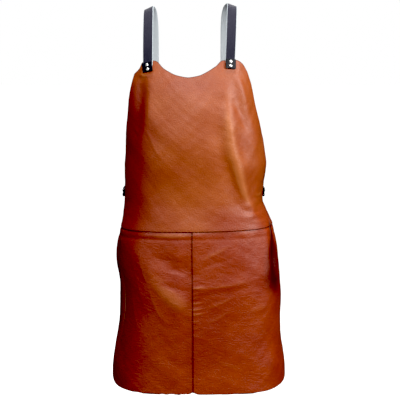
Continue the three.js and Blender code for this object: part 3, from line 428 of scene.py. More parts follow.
# %% Seats of the tabs and the unevenness of the hide
EARS = {
    "left": dict(sign=-1, across=-0.373, up=0.964, turn=12, crown=0.98, lift=-0.17, tilt=26),
    "right": dict(sign=1, across=0.371, up=0.983, turn=-5, crown=1.03, lift=0.14, tilt=20),
}
BELT_UP = (CROWN_TO_SEAM - BELT_DROP) / BIB_HEIGHT
SIDE_ACROSS = {
    -1: float(edge_at(BIB_LEFT, BELT_UP)) + SIDE_TAB_LENGTH / 2 / QUARTER_GIRTH,
    1: float(edge_at(BIB_RIGHT, BELT_UP)) - SIDE_TAB_LENGTH / 2 / QUARTER_GIRTH,
}
SEATS = [flat_place(ear["across"], ear["up"]) for ear in EARS.values()]
SEATS += [flat_place(across, BELT_UP) for across in SIDE_ACROSS.values()]
WAVES = [
    # lengths across and up in millimetres, phase, rise in millimetres
    (170, 120, 0.4, 0.5), (-95, 140, 2.1, 0.4), (70, 85, 4.0, 0.16), (-55, 62, 5.2, 0.10),
    (44, -38, 1.3, 0.09), (33, 29, 3.1, 0.07), (-27, 35, 0.9, 0.06), (21, 24, 2.6, 0.04),
]


def freedom(across, up):
    """1 where the leather is free, and 0 under a tab."""
    here = flat_place(across, up)
    nearest = np.min([np.linalg.norm(here - seat, axis=-1) for seat in SEATS], axis=0)
    return 1 - np.exp(-((nearest / TAB_WIDTH) ** 4))


def hide_waves(across, up):
    x, z = np.moveaxis(flat_place(across, up), -1, 0)
    bend = 0.03 * np.sin(x / 0.041 + 1.7) + 0.02 * np.sin(z / 0.053)
    return sum(MM * rise * np.sin(2 * math.pi / MM * ((x + bend * 0.2) / a + (z + bend * 0.3) / b) + phase)
               for a, b, phase, rise in WAVES)


# %% [markdown]
# ## From places to leather
#
# A panel is a closed sheet, 2 mm thick. Its outer face is a fine grid of places lifted by the
# relief, its inner face lies one thickness below, and a rounded rim joins them, because a cut
# edge that has been worn is round. A Solidify modifier could give the thickness, but its rim is
# square, so the rim's rings are set here. The three parts get three finishes: grain outside,
# bare flesh inside and a burnished cut edge.

# %% Mesh helpers
RIM_RINGS = 3


def new_piece(name, points, faces, finishes, finish_of=None, smooth=True):
    """Object from points and faces, with one finish or one finish number for each face."""
    mesh = bpy.data.meshes.new(name)
    mesh.from_pydata([tuple(p) for p in np.asarray(points, float)], [], [tuple(map(int, f)) for f in faces])
    for finish in finishes:
        mesh.materials.append(finish)
    if finish_of is not None:
        mesh.polygons.foreach_set("material_index", np.asarray(finish_of, np.int32))
    mesh.polygons.foreach_set("use_smooth", np.full(len(mesh.polygons), smooth))
    mesh.update()
    piece = bpy.data.objects.new(name, mesh)
    scene.collection.objects.link(piece)
    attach(piece, "root")
    return piece


def add_values(piece, name, values):
    """Stores one number for each point of a piece, for its finish to read."""
    stored = piece.data.attributes.new(name, "FLOAT", "POINT")
    stored.data.foreach_set("value", np.asarray(values, np.float32))


def grid_faces(rows, columns):
    first = np.arange(rows * columns).reshape(rows, columns)
    return np.stack([first[:-1, :-1], first[:-1, 1:], first[1:, 1:], first[1:, :-1]], -1).reshape(-1, 4)


def grid_rim(rows, columns):
    """Numbers of a grid's border points, in order round it."""
    at = np.arange(rows * columns).reshape(rows, columns)
    return np.concatenate([at[0], at[1:, -1], at[-1, -2::-1], at[-2:0:-1, 0]])


def sheet_from_grid(outer, thickness):
    """Points, faces and the face kinds (0 outside, 1 inside, 2 rim) of a closed sheet."""
    rows, columns = outer.shape[:2]
    normal = unit(np.cross(np.gradient(outer, axis=1), np.gradient(outer, axis=0)))
    inner = outer - thickness * normal
    rim = grid_rim(rows, columns)
    flat_outer, flat_normal = outer.reshape(-1, 3), normal.reshape(-1, 3)
    border, facing = flat_outer[rim], flat_normal[rim]
    run = unit(np.roll(border, -1, 0) - np.roll(border, 1, 0))
    away = unit(np.cross(run, facing))
    rings = []
    for k in range(1, RIM_RINGS + 1):
        angle = math.pi * k / (RIM_RINGS + 1)
        rings.append(border - facing * thickness / 2 * (1 - math.cos(angle))
                     + away * thickness * 0.42 * math.sin(angle))
    count = rows * columns
    points = np.concatenate([flat_outer, inner.reshape(-1, 3), *rings])
    faces = [grid_faces(rows, columns), grid_faces(rows, columns)[:, ::-1] + count]
    around = len(rim)
    loops = [rim, *(2 * count + k * around + np.arange(around) for k in range(RIM_RINGS)), rim + count]
    for upper, lower in zip(loops[:-1], loops[1:]):
        faces.append(np.stack([np.roll(upper, -1), upper, lower, np.roll(lower, -1)], -1))
    kinds = np.concatenate([np.full(len(f), min(k, 2)) for k, f in enumerate(faces)])
    return points, np.concatenate(faces), kinds, rim


# %% Panel helper
def distance_to_edge(flat, rim):
    """Distance of each place of a flat panel from its cut edge."""
    border = flat[rim]
    found = np.empty(len(flat))
    for start in range(0, len(flat), 4000):
        part = flat[start:start + 4000]
        found[start:start + 4000] = np.sqrt(((part[:, None] - border[None]) ** 2).sum(-1)).min(1)
    return found


def ramp(value, low, high):
    """Soft step from 0 at low to 1 at high."""
    t = np.clip((value - low) / (high - low), 0, 1)
    return t * t * (3 - 2 * t)


def painted_shade_share(across, up):
    """Share of painted dark red shade: the left side, the ear's hollow, above the seam at the right, below the
    neck.
    """
    start = np.where(up > 0, 0.14 + 0.24 * ramp(up, 0.55, 0.80), 0.14 + 0.14 * ramp(-up, 0, 0.08))
    left = 0.72 * ramp(-across, start, start + 0.44) * (1 - ramp(up, 0.84, 0.90))
    hollow = fold_height(across, up, (-0.47, -0.49, -0.57), (0.86, 0.72, 0.55), 0.6, 0.026)
    seam = 0.50 * ramp(across, -0.05, 0.25) * ramp(up, -0.002, 0.0) * (1 - ramp(up, 0.04, 0.24))
    neck = 0.28 * np.exp(-((across / 0.26) ** 2)) * ramp(up, 0.78, 0.87)
    return np.clip(left + hollow + seam + neck, 0, 1)


def painted_hollow_shade(across, up):
    """Share of painted near-black shade in the hips' hollows and on the turned sides."""
    nearest, share = along_line(across, up, (0.80, 0.745, 0.70), (0.0, -0.15, -0.29))
    reach = 0.010 + 0.030 * ramp(share, 0.0, 0.55)
    hip = np.exp(-((nearest / reach) ** 4))
    right = 0.4 * ramp(across, 0.78, 0.97) * ramp(up, -0.05, 0.0) * ramp(-up, -0.45, -0.30)
    edge = 0.79 - 0.05 * np.exp(-(((up + 0.13) / 0.10) ** 2))
    left = 0.5 * ramp(-across, edge - 0.02, edge + 0.06) * (1 - ramp(-across, edge + 0.06, edge + 0.20))
    left = left * ramp(-up, -0.01, 0.10) * ramp(up, -0.75, -0.50)
    return np.clip(0.98 * hip + right + left, 0, 1)


def painted_rim_highlights(across, up):
    """Painted pale rim highlights down both hips, where the leather turns back."""
    right = fold_height(across, up, (0.83, 0.745, 0.705), (0.03, -0.06, -0.16), 0.42, 0.0045)
    left = fold_height(across, up, (-0.77, -0.735, -0.75), (0.0, -0.31, -0.68), 0.45, 0.0055)
    return right + left


def leather_panel(name, node, across, up, relief, inset, finishes):
    """Closed leather sheet over a grid of places, in the place of a node of the frame."""
    point, _, _, out = form_frame(across, up)
    height = relief(across, up)
    outer = point + out * (height - inset)[..., None]
    points, faces, kinds, rim = sheet_from_grid(outer, LEATHER)
    piece = new_piece(name, points, faces, finishes, kinds)
    flat = flat_place(across, up).reshape(-1, 2)
    edge = distance_to_edge(flat, rim)
    # Pale share: wrinkle crests and puckers, partly wear and partly painted highlight, plus painted highlight
    # lines.
    wear_and_highlight = ((small_wrinkles(across, up) + puckers(across, up)) / MM + painted_highlight_lines(across, up)).reshape(-1)
    # Share of painted dark red shade.
    deep = painted_shade_share(across, up).reshape(-1)
    # Share of painted near-black shade in the hips' hollows.
    dark = painted_hollow_shade(across, up).reshape(-1)
    # Share of painted pale rim highlights down the hips.
    pale = painted_rim_highlights(across, up).reshape(-1)
    rings = np.concatenate([np.zeros(len(rim))] * RIM_RINGS)
    add_values(piece, "edge", np.concatenate([edge, edge, rings]))
    add_values(piece, "wear_and_highlight", np.concatenate([wear_and_highlight, wear_and_highlight, rings]))
    for name_of, value in (("deep", deep), ("dark", dark), ("pale", pale)):
        add_values(piece, name_of, np.concatenate([value, value, np.tile(value[rim], RIM_RINGS)]))
    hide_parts(node)
    size = flat.max(0) - flat.min(0)
    steps = np.diff(across, axis=1)[:-1] * QUARTER_GIRTH * np.diff(level_of(up), axis=0)[:, :-1]
    print(name, "cut from", size.round(3), "m, area", abs(steps.sum()).round(4), "m2,", len(faces), "faces")
    return piece, size, float(abs(steps.sum()))


# %% [markdown]
# ## Leather finishes
#
# Pebbled cowhide is a net of soft round cells about 2 mm wide. A Voronoi texture gives the
# cells, and its smooth distance gives their rounded tops. Finer noise breaks them up. The wax
# finish gives a broad shine, so roughness is middling with a light coat. Colour isn't one brown:
# clouds of dye, a darker burnish along cut edges, paler wrinkle crests that are partly wear and
# partly painted highlight, a few painted highlight lines, a painted dark red shade on the side
# turned from the light and in hollows, painted near-black shade in the hips' hollows and painted
# pale rim highlights down the hips.

# %% Node helper
def add_node(tree, kind, inputs=None, **settings):
    made = tree.nodes.new(kind)
    for setting, value in settings.items():
        setattr(made, setting, value)
    for socket, value in (inputs or {}).items():
        if isinstance(value, bpy.types.NodeSocket):
            tree.links.new(value, made.inputs[socket])
        else:
            made.inputs[socket].default_value = value
    return made


def mix_colour(tree, share, first, second):
    mixed = add_node(tree, "ShaderNodeMix", {0: share, 6: first, 7: second}, data_type="RGBA")
    return mixed.outputs[2]


def maths(tree, operation, first, second=0.0, third=0.0):
    made = add_node(tree, "ShaderNodeMath", {0: first, 1: second, 2: third}, operation=operation)
    return made.outputs[0]


def remap(tree, value, low, high, to_low=0.0, to_high=1.0):
    made = add_node(tree, "ShaderNodeMapRange", {0: value, 1: low, 2: high, 3: to_low, 4: to_high})
    return made.outputs[0]


def new_finish(name, roughness=0.5, **shader_values):
    """Material with its shader, whose even values are set on the shader's own sockets."""
    finish = bpy.data.materials.new(name)
    finish.use_nodes = True
    shader = finish.node_tree.nodes["Principled BSDF"]
    shader.inputs["Roughness"].default_value = roughness
    for socket, value in shader_values.items():
        shader.inputs[socket.replace("_", " ")].default_value = value
    return finish, finish.node_tree, shader


def srgb(red, green, blue):
    """Linear colour from the 0 to 255 numbers of a colour chart."""
    linear = [((v / 255 + 0.055) / 1.055) ** 2.4 if v > 10 else v / 255 / 12.92 for v in (red, green, blue)]
    return (*linear, 1.0)


# %% Outer face of the leather
def grain_leather(name, lit, shaded, shade_red, cell, pebble, crease, crinkle):
    """Waxed leather: cell is the grain's size, pebble, crease and crinkle are depths in metres."""
    finish, tree, shader = new_finish(name, 0.45, Specular_IOR_Level=0.5, Coat_Weight=0.35, Coat_Roughness=0.42)
    place = add_node(tree, "ShaderNodeTexCoord").outputs["Object"]
    clouds = add_node(tree, "ShaderNodeTexNoise",
                      {"Vector": place, "Scale": 9.0, "Detail": 4.0, "Roughness": 0.6})
    specks = add_node(tree, "ShaderNodeTexNoise",
                      {"Vector": place, "Scale": 140.0, "Detail": 3.0, "Roughness": 0.65})
    drift = add_node(tree, "ShaderNodeVectorMath", {0: specks.outputs["Color"], 3: cell * 0.5},
                     operation="SCALE")
    moved = add_node(tree, "ShaderNodeVectorMath", {0: place, 1: drift.outputs[0]},
                     operation="ADD").outputs[0]
    cells = add_node(tree, "ShaderNodeTexVoronoi", {"Vector": moved, "Scale": 1 / cell, "Smoothness": 0.35},
                     feature="SMOOTH_F1")
    lines = add_node(tree, "ShaderNodeTexNoise",
                     {"Vector": moved, "Scale": 38.0, "Detail": 5.0, "Roughness": 0.62, "Distortion": 1.4})
    fine = maths(tree, "ABSOLUTE", maths(tree, "SUBTRACT", lines.outputs["Fac"], 0.5))
    thin = remap(tree, fine, 0.0, 0.035)

    stretch = add_node(tree, "ShaderNodeMapping", {"Vector": place})
    stretch.inputs["Rotation"].default_value = (0.0, math.radians(-12), 0.0)
    stretch.inputs["Scale"].default_value = (1.0, 1.0, 2.3)
    rumple = add_node(tree, "ShaderNodeTexNoise", {"Vector": stretch.outputs[0], "Scale": 26.0, "Detail": 4.0,
                                                   "Roughness": 0.55, "Distortion": 1.1})
    folded = maths(tree, "ABSOLUTE", maths(tree, "SUBTRACT", rumple.outputs["Fac"], 0.5))
    rumpled = remap(tree, folded, 0.0, 0.14)

    edge, wear_and_highlight, deep, dark, pale = (
        add_node(tree, "ShaderNodeAttribute", attribute_name=key).outputs["Fac"]
        for key in ("edge", "wear_and_highlight", "deep", "dark", "pale"))

    colour = mix_colour(tree, remap(tree, clouds.outputs["Fac"], 0.35, 0.68), shaded, lit)
    colour = mix_colour(tree, remap(tree, specks.outputs["Fac"], 0.3, 0.7, 0.0, 0.35), colour, shaded)
    colour = mix_colour(tree, remap(tree, cells.outputs["Distance"], 0.35, 0.75, 0.0, 0.30), colour, shaded)
    # Paler on wrinkle crests and puckers, partly wear and partly painted highlight, and on painted highlight
    # lines.
    colour = mix_colour(tree, remap(tree, wear_and_highlight, 0.25, 1.5, 0.0, 0.34), colour, srgb(226, 146, 88))
    # Painted dark red shade on the side turned from the light and in hollows.
    colour = mix_colour(tree, deep, colour, shade_red)
    # Painted near-black shade in the hips' hollows and on the turned sides.
    colour = mix_colour(tree, dark, colour, srgb(78, 20, 14))
    # Painted pale rim highlights down both hips.
    colour = mix_colour(tree, pale, colour, srgb(196, 160, 142))
    burnish = remap(tree, edge, 0.0003, 0.0018, 0.55, 0.0)
    colour = mix_colour(tree, burnish, colour, srgb(62, 20, 8))
    tree.links.new(colour, shader.inputs["Base Color"])

    shine = remap(tree, clouds.outputs["Fac"], 0.3, 0.7, 0.50, 0.38)
    shine = maths(tree, "ADD", shine, remap(tree, cells.outputs["Distance"], 0.2, 0.8, -0.03, 0.08))
    tree.links.new(shine, shader.inputs["Roughness"])

    grain = add_node(tree, "ShaderNodeBump",
                     {"Height": cells.outputs["Distance"], "Distance": pebble, "Strength": 1.0})
    grain.invert = True
    bent = add_node(tree, "ShaderNodeBump",
                    {"Height": rumpled, "Distance": crinkle, "Normal": grain.outputs[0]})
    small = add_node(tree, "ShaderNodeBump", {"Height": thin, "Distance": crease, "Strength": 1.0,
                                              "Normal": bent.outputs[0]})
    broad = add_node(tree, "ShaderNodeBump", {"Height": specks.outputs["Fac"], "Distance": 0.00012,
                                              "Normal": small.outputs[0]})
    tree.links.new(broad.outputs[0], shader.inputs["Normal"])
    return finish


# The third colour of each leather is its painted dark red shade.
bib_grain = grain_leather("bib_grain", srgb(184, 100, 52), srgb(164, 78, 37), srgb(134, 34, 18),
                          0.0026, 0.00044, 0.00010, 0.00008)
skirt_grain = grain_leather("skirt_grain", srgb(166, 75, 36), srgb(146, 55, 26), srgb(121, 28, 15),
                            0.0019, 0.00026, 0.00016, 0.00026)
print("grain of", bib_grain.name, "and", skirt_grain.name)

# %% [markdown]
# Inside, the hide isn't dyed: it is flesh, fibrous and dull. The cut edge is dyed and rubbed
# until it shines a little.

# %% Flesh side and cut edge
def flesh_side():
    finish, tree, shader = new_finish("leather_flesh", 0.95, Specular_IOR_Level=0.2, Sheen_Weight=0.25)
    place = add_node(tree, "ShaderNodeTexCoord").outputs["Object"]
    clouds = add_node(tree, "ShaderNodeTexNoise", {"Vector": place, "Scale": 12.0, "Detail": 5.0})
    fibres = add_node(tree, "ShaderNodeTexNoise",
                      {"Vector": place, "Scale": 900.0, "Detail": 4.0, "Distortion": 0.8})
    colour = mix_colour(tree, clouds.outputs["Fac"], srgb(150, 104, 70), srgb(186, 142, 102))
    pulled = remap(tree, fibres.outputs["Fac"], 0.35, 0.65, 0.0, 0.5)
    colour = mix_colour(tree, pulled, colour, srgb(128, 84, 54))
    tree.links.new(colour, shader.inputs["Base Color"])
    nap = add_node(tree, "ShaderNodeBump", {"Height": fibres.outputs["Fac"], "Distance": 0.0003})
    tree.links.new(nap.outputs[0], shader.inputs["Normal"])
    return finish


def cut_edge():
    finish, tree, shader = new_finish("leather_cut_edge", 0.75, Specular_IOR_Level=0.2)
    place = add_node(tree, "ShaderNodeTexCoord").outputs["Object"]
    fibres = add_node(tree, "ShaderNodeTexNoise", {"Vector": place, "Scale": 600.0, "Detail": 4.0})
    colour = mix_colour(tree, fibres.outputs["Fac"], srgb(62, 23, 10), srgb(98, 42, 19))
    tree.links.new(colour, shader.inputs["Base Color"])
    rub = add_node(tree, "ShaderNodeBump", {"Height": fibres.outputs["Fac"], "Distance": 0.0001})
    tree.links.new(rub.outputs[0], shader.inputs["Normal"])
    return finish


flesh, burnished = flesh_side(), cut_edge()
print("inside", flesh.name, "and edge", burnished.name)

# %% [markdown]
# ## The bib
#
# The bib is one piece of hide with four curved sides. Its grid is blended between them, as a
# sail is between its spars, so the grid's lines follow the neckline above and the seam below.

# %% Grid of the bib
BIB_COLUMNS = 189
BIB_ROWS = 148


def bib_places():
    top = through(BIB_TOP, (BIB_COLUMNS - 1) // (len(BIB_TOP) - 1) + 1, tension=0.35)
    u = np.linspace(0, 1, BIB_COLUMNS)
    along = np.linspace(0, 1, len(top))
    high = np.stack([np.interp(u, along, top[:, k]) for k in (0, 1)])
    v = np.linspace(0, 1, BIB_ROWS)[:, None]
    left_up, right_up = v * BIB_TOP[0, 1], v * BIB_TOP[-1, 1]
    left, right = edge_at(BIB_LEFT, left_up), edge_at(BIB_RIGHT, right_up)
    low = BIB_LEFT[0, 1] + (BIB_RIGHT[0, 1] - BIB_LEFT[0, 1]) * u

    def blend(bottom, top_line, left_line, right_line, corners):
        flat = (1 - v) * ((1 - u) * corners[0] + u * corners[1]) + v * ((1 - u) * corners[2] + u * corners[3])
        return (1 - v) * bottom + v * top_line + (1 - u) * left_line + u * right_line - flat

    across = blend(low, high[0], left, right, (low[0], low[-1], BIB_TOP[0, 0], BIB_TOP[-1, 0]))
    up = blend(0.0, high[1], left_up, right_up, (0, 0, BIB_TOP[0, 1], BIB_TOP[-1, 1]))
    return across, up


def bib_relief(across, up):
    free = freedom(across, up)
    waves = hide_waves(across, up) * np.clip(up / 0.06, 0, 1)
    pulled = fold_height(across, up, (-0.50, -0.405, -0.315), (0.921, 0.917, 0.925), 2.2 * MM, 3.4 * MM)
    return (large_folds(across, up) + small_wrinkles(across, up) + waves) * free + pulled


bib_across, bib_up = bib_places()
bib, bib_size, bib_area = leather_panel("bib", "bib_panel", bib_across, bib_up, bib_relief, 0.0 * bib_up,
                                        [bib_grain, flesh, burnished])

# %% [markdown]
# ## The skirt
#
# The two skirt panels hang below the bib and go up 12 mm behind it. The right panel laps over
# the left at the centre, so the left one dives inwards there by a thickness. Where leather lies
# on leather both layers get the same relief, or one would show through the other. Below the waist
# seam the hidden seam allowance lifts the leather in a low band. Small drawn-in notches mark the
# centre of the hem.

# %% Grids of the skirt panels
SKIRT_COLUMNS = 100
CORNER_ROWS = 26
SKIRT_ROWS = 112
NOTCH = 4.5 * MM
NOTCH_WIDTH = 5 * MM
BAND_RISE = 1.7 * MM


def skirt_edge(sign, up):
    height = HEM_CORNER_RIGHT if sign > 0 else HEM_CORNER_LEFT
    low = np.clip(1 - (up + 1) * SKIRT_LENGTH / height, 0, 1)
    cut = (1 - np.sqrt(1 - low * low)) * HEM_CORNER_WIDTH / QUARTER_GIRTH
    table = BIB_RIGHT if sign > 0 else BIB_LEFT
    return np.where(up < 0, sign * (edge_at(SKIRT_SIDE, up) - cut), edge_at(table, up))


def skirt_places(sign):
    corner = (HEM_CORNER_RIGHT if sign > 0 else HEM_CORNER_LEFT) / SKIRT_LENGTH
    turn = np.linspace(math.pi / 2, 0, CORNER_ROWS)
    levels = np.concatenate([-1 + corner * (1 - np.sin(turn)),
                             np.linspace(-1 + corner, SEAM_LAP / BIB_HEIGHT, SKIRT_ROWS)[1:]])
    up = np.repeat(levels[:, None], SKIRT_COLUMNS, axis=1)
    edge = skirt_edge(sign, levels)[:, None]
    share = np.linspace(0, 1, SKIRT_COLUMNS)[None]
    seam = seam_across(levels)[:, None]
    if sign > 0:
        across = seam + share * (edge - seam)
    else:
        across = edge + share * (seam + LAP_ACROSS - edge)
    centre = np.exp(-(((across - seam) * QUARTER_GIRTH / NOTCH_WIDTH) ** 2))
    low = np.exp(-(((up + 1) * SKIRT_LENGTH / 0.020) ** 2))
    return across, up + NOTCH / SKIRT_LENGTH * centre * low


def seam_band(across, up):
    """Low swelling over the seam allowance, strongest on the left panel."""
    below = -up * SKIRT_LENGTH / SEAM_BAND
    start = np.clip(below / 0.2, 0, 1)
    end = 1 / (1 + np.exp((below - 1) * 9))
    crease = -0.45 * np.exp(-(((below - 1.35) / 0.22) ** 2))
    strength = 1 - 0.55 * ramp(across, seam_across(up) - LAP_ACROSS, seam_across(up))
    return BAND_RISE * strength * (start * end + crease)


SEAM_FADE = 6 * MM


def below_seam(up):
    """Share that grows from 0 at the waist seam to 1 a little below it."""
    return np.clip(-up * SKIRT_LENGTH / SEAM_FADE, 0, 1)


def skirt_relief(across, up):
    """Relief of both panels and of their lap behind the bib, so that lapped leather moves as one."""
    below = below_seam(up)
    waves = hide_waves(across, up) * np.where(up > 0, np.clip(up / 0.06, 0, 1), below)
    shared = (large_folds(across, up) + small_wrinkles(across, up) + waves) * freedom(across, up)
    return shared + seam_band(across, up) * below


def right_relief(across, up):
    """The right panel's relief: its puckers only rise, so they stay clear of the panel below."""
    return skirt_relief(across, up) + puckers(across, up) * below_seam(up)


for side, sign in (("left", -1), ("right", 1)):
    across, up = skirt_places(sign)
    inset = np.full(across.shape, SKIRT_INSET)
    if sign < 0:
        inset = inset + SKIRT_INSET * np.clip((across - seam_across(up)) / LAP_ACROSS + 2, 0, 1)
    leather_panel("skirt_" + side + "_panel", "skirt_" + side, across, up,
                                 skirt_relief if sign < 0 else right_relief,
                                 inset, [skirt_grain, flesh, burnished])

# %% [markdown]
# Each panel is a closed sheet, and its cut size and area are printed.

# %% [markdown]
# ## Webbing, tabs and turns
#
# A strap is webbing swept along its route: a flat section with rounded selvedges. The routes are
# the frame's own. Each goes up from under its tab, over the shoulder, down the back and round
# the belt, where it returns on itself. A turn round a bar is made of half a circle and two legs
# that close up behind the bar.

# %% Sweep of a flat strip
def strip_section(width, thickness, flats=8, rounds=3):
    """Points of a flat section with round edges, from one corner round it, and which are faces."""
    r = thickness / 2
    points, kinds = [], []
    for level, order in ((-1, 1), (1, -1)):
        for t in np.linspace(-1, 1, flats + 1)[::order]:
            points.append((t * (width / 2 - r), level * r))
        kinds += [level] * flats
        for k in range(1, rounds):
            angle = math.pi * k / rounds
            points.append((order * (width / 2 - r + r * math.sin(angle)), level * r * math.cos(angle)))
        kinds += [0] * rounds
    return np.array(points), kinds


def swept_strip(name, line, sides, width, thickness, finishes, nodes):
    """Strip along a line, its width along sides, its outer face to the right of side x run."""
    line, sides = np.asarray(line, float), np.asarray(sides, float)
    runs = unit(np.diff(line, axis=0))
    before, after = np.vstack([runs[:1], runs]), np.vstack([runs, runs[-1:]])
    run = unit(before + after)
    across = unit(sides - run * (sides * run).sum(-1, keepdims=True))
    face = unit(np.cross(run, across))
    mitre = 1 / np.maximum(0.5, (before * run).sum(-1, keepdims=True))
    section, kinds = strip_section(width, thickness)
    rings = (line[:, None] + across[:, None] * section[None, :, :1]
             + (face * mitre)[:, None] * section[None, :, 1:])
    around, count = len(section), len(line)
    at = np.arange(count * around).reshape(count, around)
    nexts = np.roll(at, -1, axis=1)
    faces = np.stack([at[:-1], nexts[:-1], nexts[1:], at[1:]], -1).reshape(-1, 4)
    faces = [*faces.tolist(), at[0][::-1].tolist(), at[-1].tolist()]
    kind_of = [{-1: 0, 1: 1, 0: 2}[k] for k in kinds]
    finish_of = kind_of * (count - 1) + [2, 2]
    piece = new_piece(name, rings.reshape(-1, 3), faces, finishes, finish_of)
    length = np.concatenate([[0], np.cumsum(np.linalg.norm(np.diff(line, axis=0), axis=1))])
    uv = piece.data.uv_layers.new(name="weave")
    flat_u = np.tile(section[:, 0], count)
    flat_v = np.repeat(length, around)
    corner = np.empty(len(piece.data.loops), np.int32)
    piece.data.loops.foreach_get("vertex_index", corner)
    uv.data.foreach_set("uv", np.stack([flat_u[corner], flat_v[corner]], -1).ravel())
    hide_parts(*nodes)
    print(name, "is", round(float(length[-1]), 3), "m long,", len(faces), "faces")
    return piece, float(length[-1])


def turn_line(core, along, outward, radius, flat, leg, inside, steps=14):
    """Turn of a strip round a core: inner leg, half circle, outer leg."""
    def place(a, o):
        return core + along * a + outward * o
    close = flat + 3.2 * radius
    points = [place(close + inside, -leg)] if inside > 0 else []
    points.append(place(close, -leg))
    for i in range(steps + 1):
        angle = math.pi * i / steps
        if i == 0 and flat > 0:
            points.append(place(flat, -radius))
        points.append(place(-flat - radius * math.sin(angle), -radius * math.cos(angle)))
        if i == steps and flat > 0:
            points.append(place(flat, radius))
    points.append(place(close, leg))
    if inside > 0:
        points.append(place(close + inside + 4 * MM, leg))
    return points


# %% [markdown]
# ## Webbing finish
#
# Webbing is woven from thick flat yarns about 1.3 mm wide. Two crossing sine waves over the
# strip's own flat coordinates give the weave, and their product gives the crossings. The front
# face is dark blue grey. The back face and the selvedges are pale grey.

# %% Webbing
YARN = 1.3 * MM


def webbing(name, colour_a, colour_b, roughness):
    finish, tree, shader = new_finish(name, roughness, Sheen_Weight=0.15, Specular_IOR_Level=0.3)
    flat = add_node(tree, "ShaderNodeUVMap", uv_map="weave").outputs[0]
    axes = add_node(tree, "ShaderNodeSeparateXYZ", {0: flat})
    turn = 2 * math.pi / YARN
    warp = maths(tree, "SINE", maths(tree, "MULTIPLY", axes.outputs[0], turn))
    shifted = maths(tree, "ADD", maths(tree, "MULTIPLY", axes.outputs[1], turn / 1.6),
                    maths(tree, "MULTIPLY", axes.outputs[0], turn / 2))
    weft = maths(tree, "SINE", shifted)
    cloth = maths(tree, "MULTIPLY_ADD", maths(tree, "MULTIPLY", warp, weft), 0.5, 0.5)
    place = add_node(tree, "ShaderNodeTexCoord").outputs["Object"]
    fuzz = add_node(tree, "ShaderNodeTexNoise", {"Vector": place, "Scale": 300.0, "Detail": 4.0})
    colour = mix_colour(tree, cloth, colour_a, colour_b)
    colour = mix_colour(tree, remap(tree, fuzz.outputs["Fac"], 0.3, 0.7, 0.0, 0.3), colour, colour_a)
    tree.links.new(colour, shader.inputs["Base Color"])
    weave = add_node(tree, "ShaderNodeBump", {"Height": cloth, "Distance": 0.00025})
    hair = add_node(tree, "ShaderNodeBump", {"Height": fuzz.outputs["Fac"], "Distance": 0.0001,
                                             "Normal": weave.outputs[0]})
    tree.links.new(hair.outputs[0], shader.inputs["Normal"])
    return finish


navy = webbing("webbing_navy", srgb(46, 45, 56), srgb(72, 70, 80), 0.85)
pale = webbing("webbing_pale", srgb(214, 226, 232), srgb(234, 240, 244), 0.9)
black = webbing("webbing_black", srgb(22, 22, 26), srgb(44, 44, 50), 0.85)
print("webbing in", navy.name, pale.name, black.name)

# %% [markdown]
# ## Where the straps and the belt run
#
# The belt runs level round the back at the height of the side fittings. Its line is found on the
# form, so the two side tabs, the rings and the buckle all lie on it.

# %% Belt level on the form
BELT_LEG = (WEBBING + GAP) / 2
SIDE_TAB_MIDDLE = SEAT_GAP + TAB_LEATHER + GAP / 2
BAR_TURN = BAR * math.sqrt(0.5) + SEAT_GAP
WEBBING_TURN = BAR_TURN + WEBBING / 2
TAB_TURN = BAR_TURN + TAB_LEATHER / 2


def halve(near, far, short):
    """Place between near and far up to which short() is true."""
    for _ in range(40):
        half = (near + far) / 2
        near, far = (half, far) if short(half) else (near, half)
    return near


def level_direction(v):
    return unit(v * np.array([1.0, 1.0, 0.0]))


def belt_point(across, outside):
    point, _, _, out = form_frame(across, BELT_UP)
    return point + level_direction(out) * outside


def backward(across, sign):
    return level_direction(form_frame(across, BELT_UP)[1]) * sign


def place_on_form(point, sign):
    """Place across of a point at the belt's level, and its distance outside the form."""
    def before(across):
        at, along, _, _ = form_frame(sign * across, BELT_UP)
        return sign * ((point - at)[:2] @ along[:2]) > 0
    across = sign * halve(0.9, 2.1, before)
    at, _, _, out = form_frame(across, BELT_UP)
    return across, float((point - at)[:2] @ out[:2])


def crossing(sign):
    """Straight stretch of the belt that a strap's loop goes round."""
    middle = smooth_column(SECTIONS, np.array(BELT_UP), 1) * BODY_HALF_WIDTH
    side = math.copysign(1, sign * BACK_SPACING / 2 - middle)
    x = sign * BACK_SPACING / 2
    across = side * halve(1, 2, lambda a: side * (form_point(side * a, BELT_UP)[0] - x) > 0)
    reach = sign * 0.8 * STRAP_WIDTH / QUARTER_GIRTH
    ends = [belt_point(across - reach, SIDE_TAB_MIDDLE + BELT_LEG),
            belt_point(across + reach, SIDE_TAB_MIDDLE + BELT_LEG)]
    width = unit((ends[0] - ends[1]) * sign)
    return dict(across=across, reach=reach, ends=ends, at=(ends[0] + ends[1]) / 2, width=width,
                out=np.array([-width[1], width[0], 0.0]))


# %% [markdown]
# ## Shoulder straps
#
# From the ear the strap leans in a little, bends over the shoulder and falls down the back. Its
# width stays level with the ear at the front, tilts with the shoulder at the crown and turns to
# the belt at the back.

# %% Routes of the shoulder straps
SEATED_STRAP = SEAT_GAP + WEBBING / 2
TAB_BACK = SEAT_GAP + WEBBING + SEAT_GAP
STRAP_FRONT = [(0.93, 0.26), (0.80, 0.50), (0.60, 0.74), (0.36, 0.92), (0.16, 0.985)]
STRAP_BACK = [
    (0.16, 0.004, 0.30), (0.36, 0.022, 0.65), (0.58, 0.065, 0.90), (0.78, 0.135, 1.0),
    (0.94, 0.240, 1.0), (1.04, 0.380, 1.0), (1.08, 0.520, 1.0), (1.05, 0.680, 1.0), (1.01, 0.840, 1.0),
]
STRAP_STEPS = 14


def ear_seat(ear):
    """Seat of a strap tab on the bib: point, along, rise and out, with the tab's own turn."""
    at, along, rise, out = form_frame(ear["across"], ear["up"])
    height = large_folds(ear["across"], ear["up"]) * freedom(ear["across"], ear["up"])
    turn = np.array(Matrix.Rotation(math.radians(ear["turn"]), 3, Vector(out)))
    return at + out * height, along, rise, out, turn @ along, turn @ rise


def between(a, b, share):
    return a + (b - a) * share


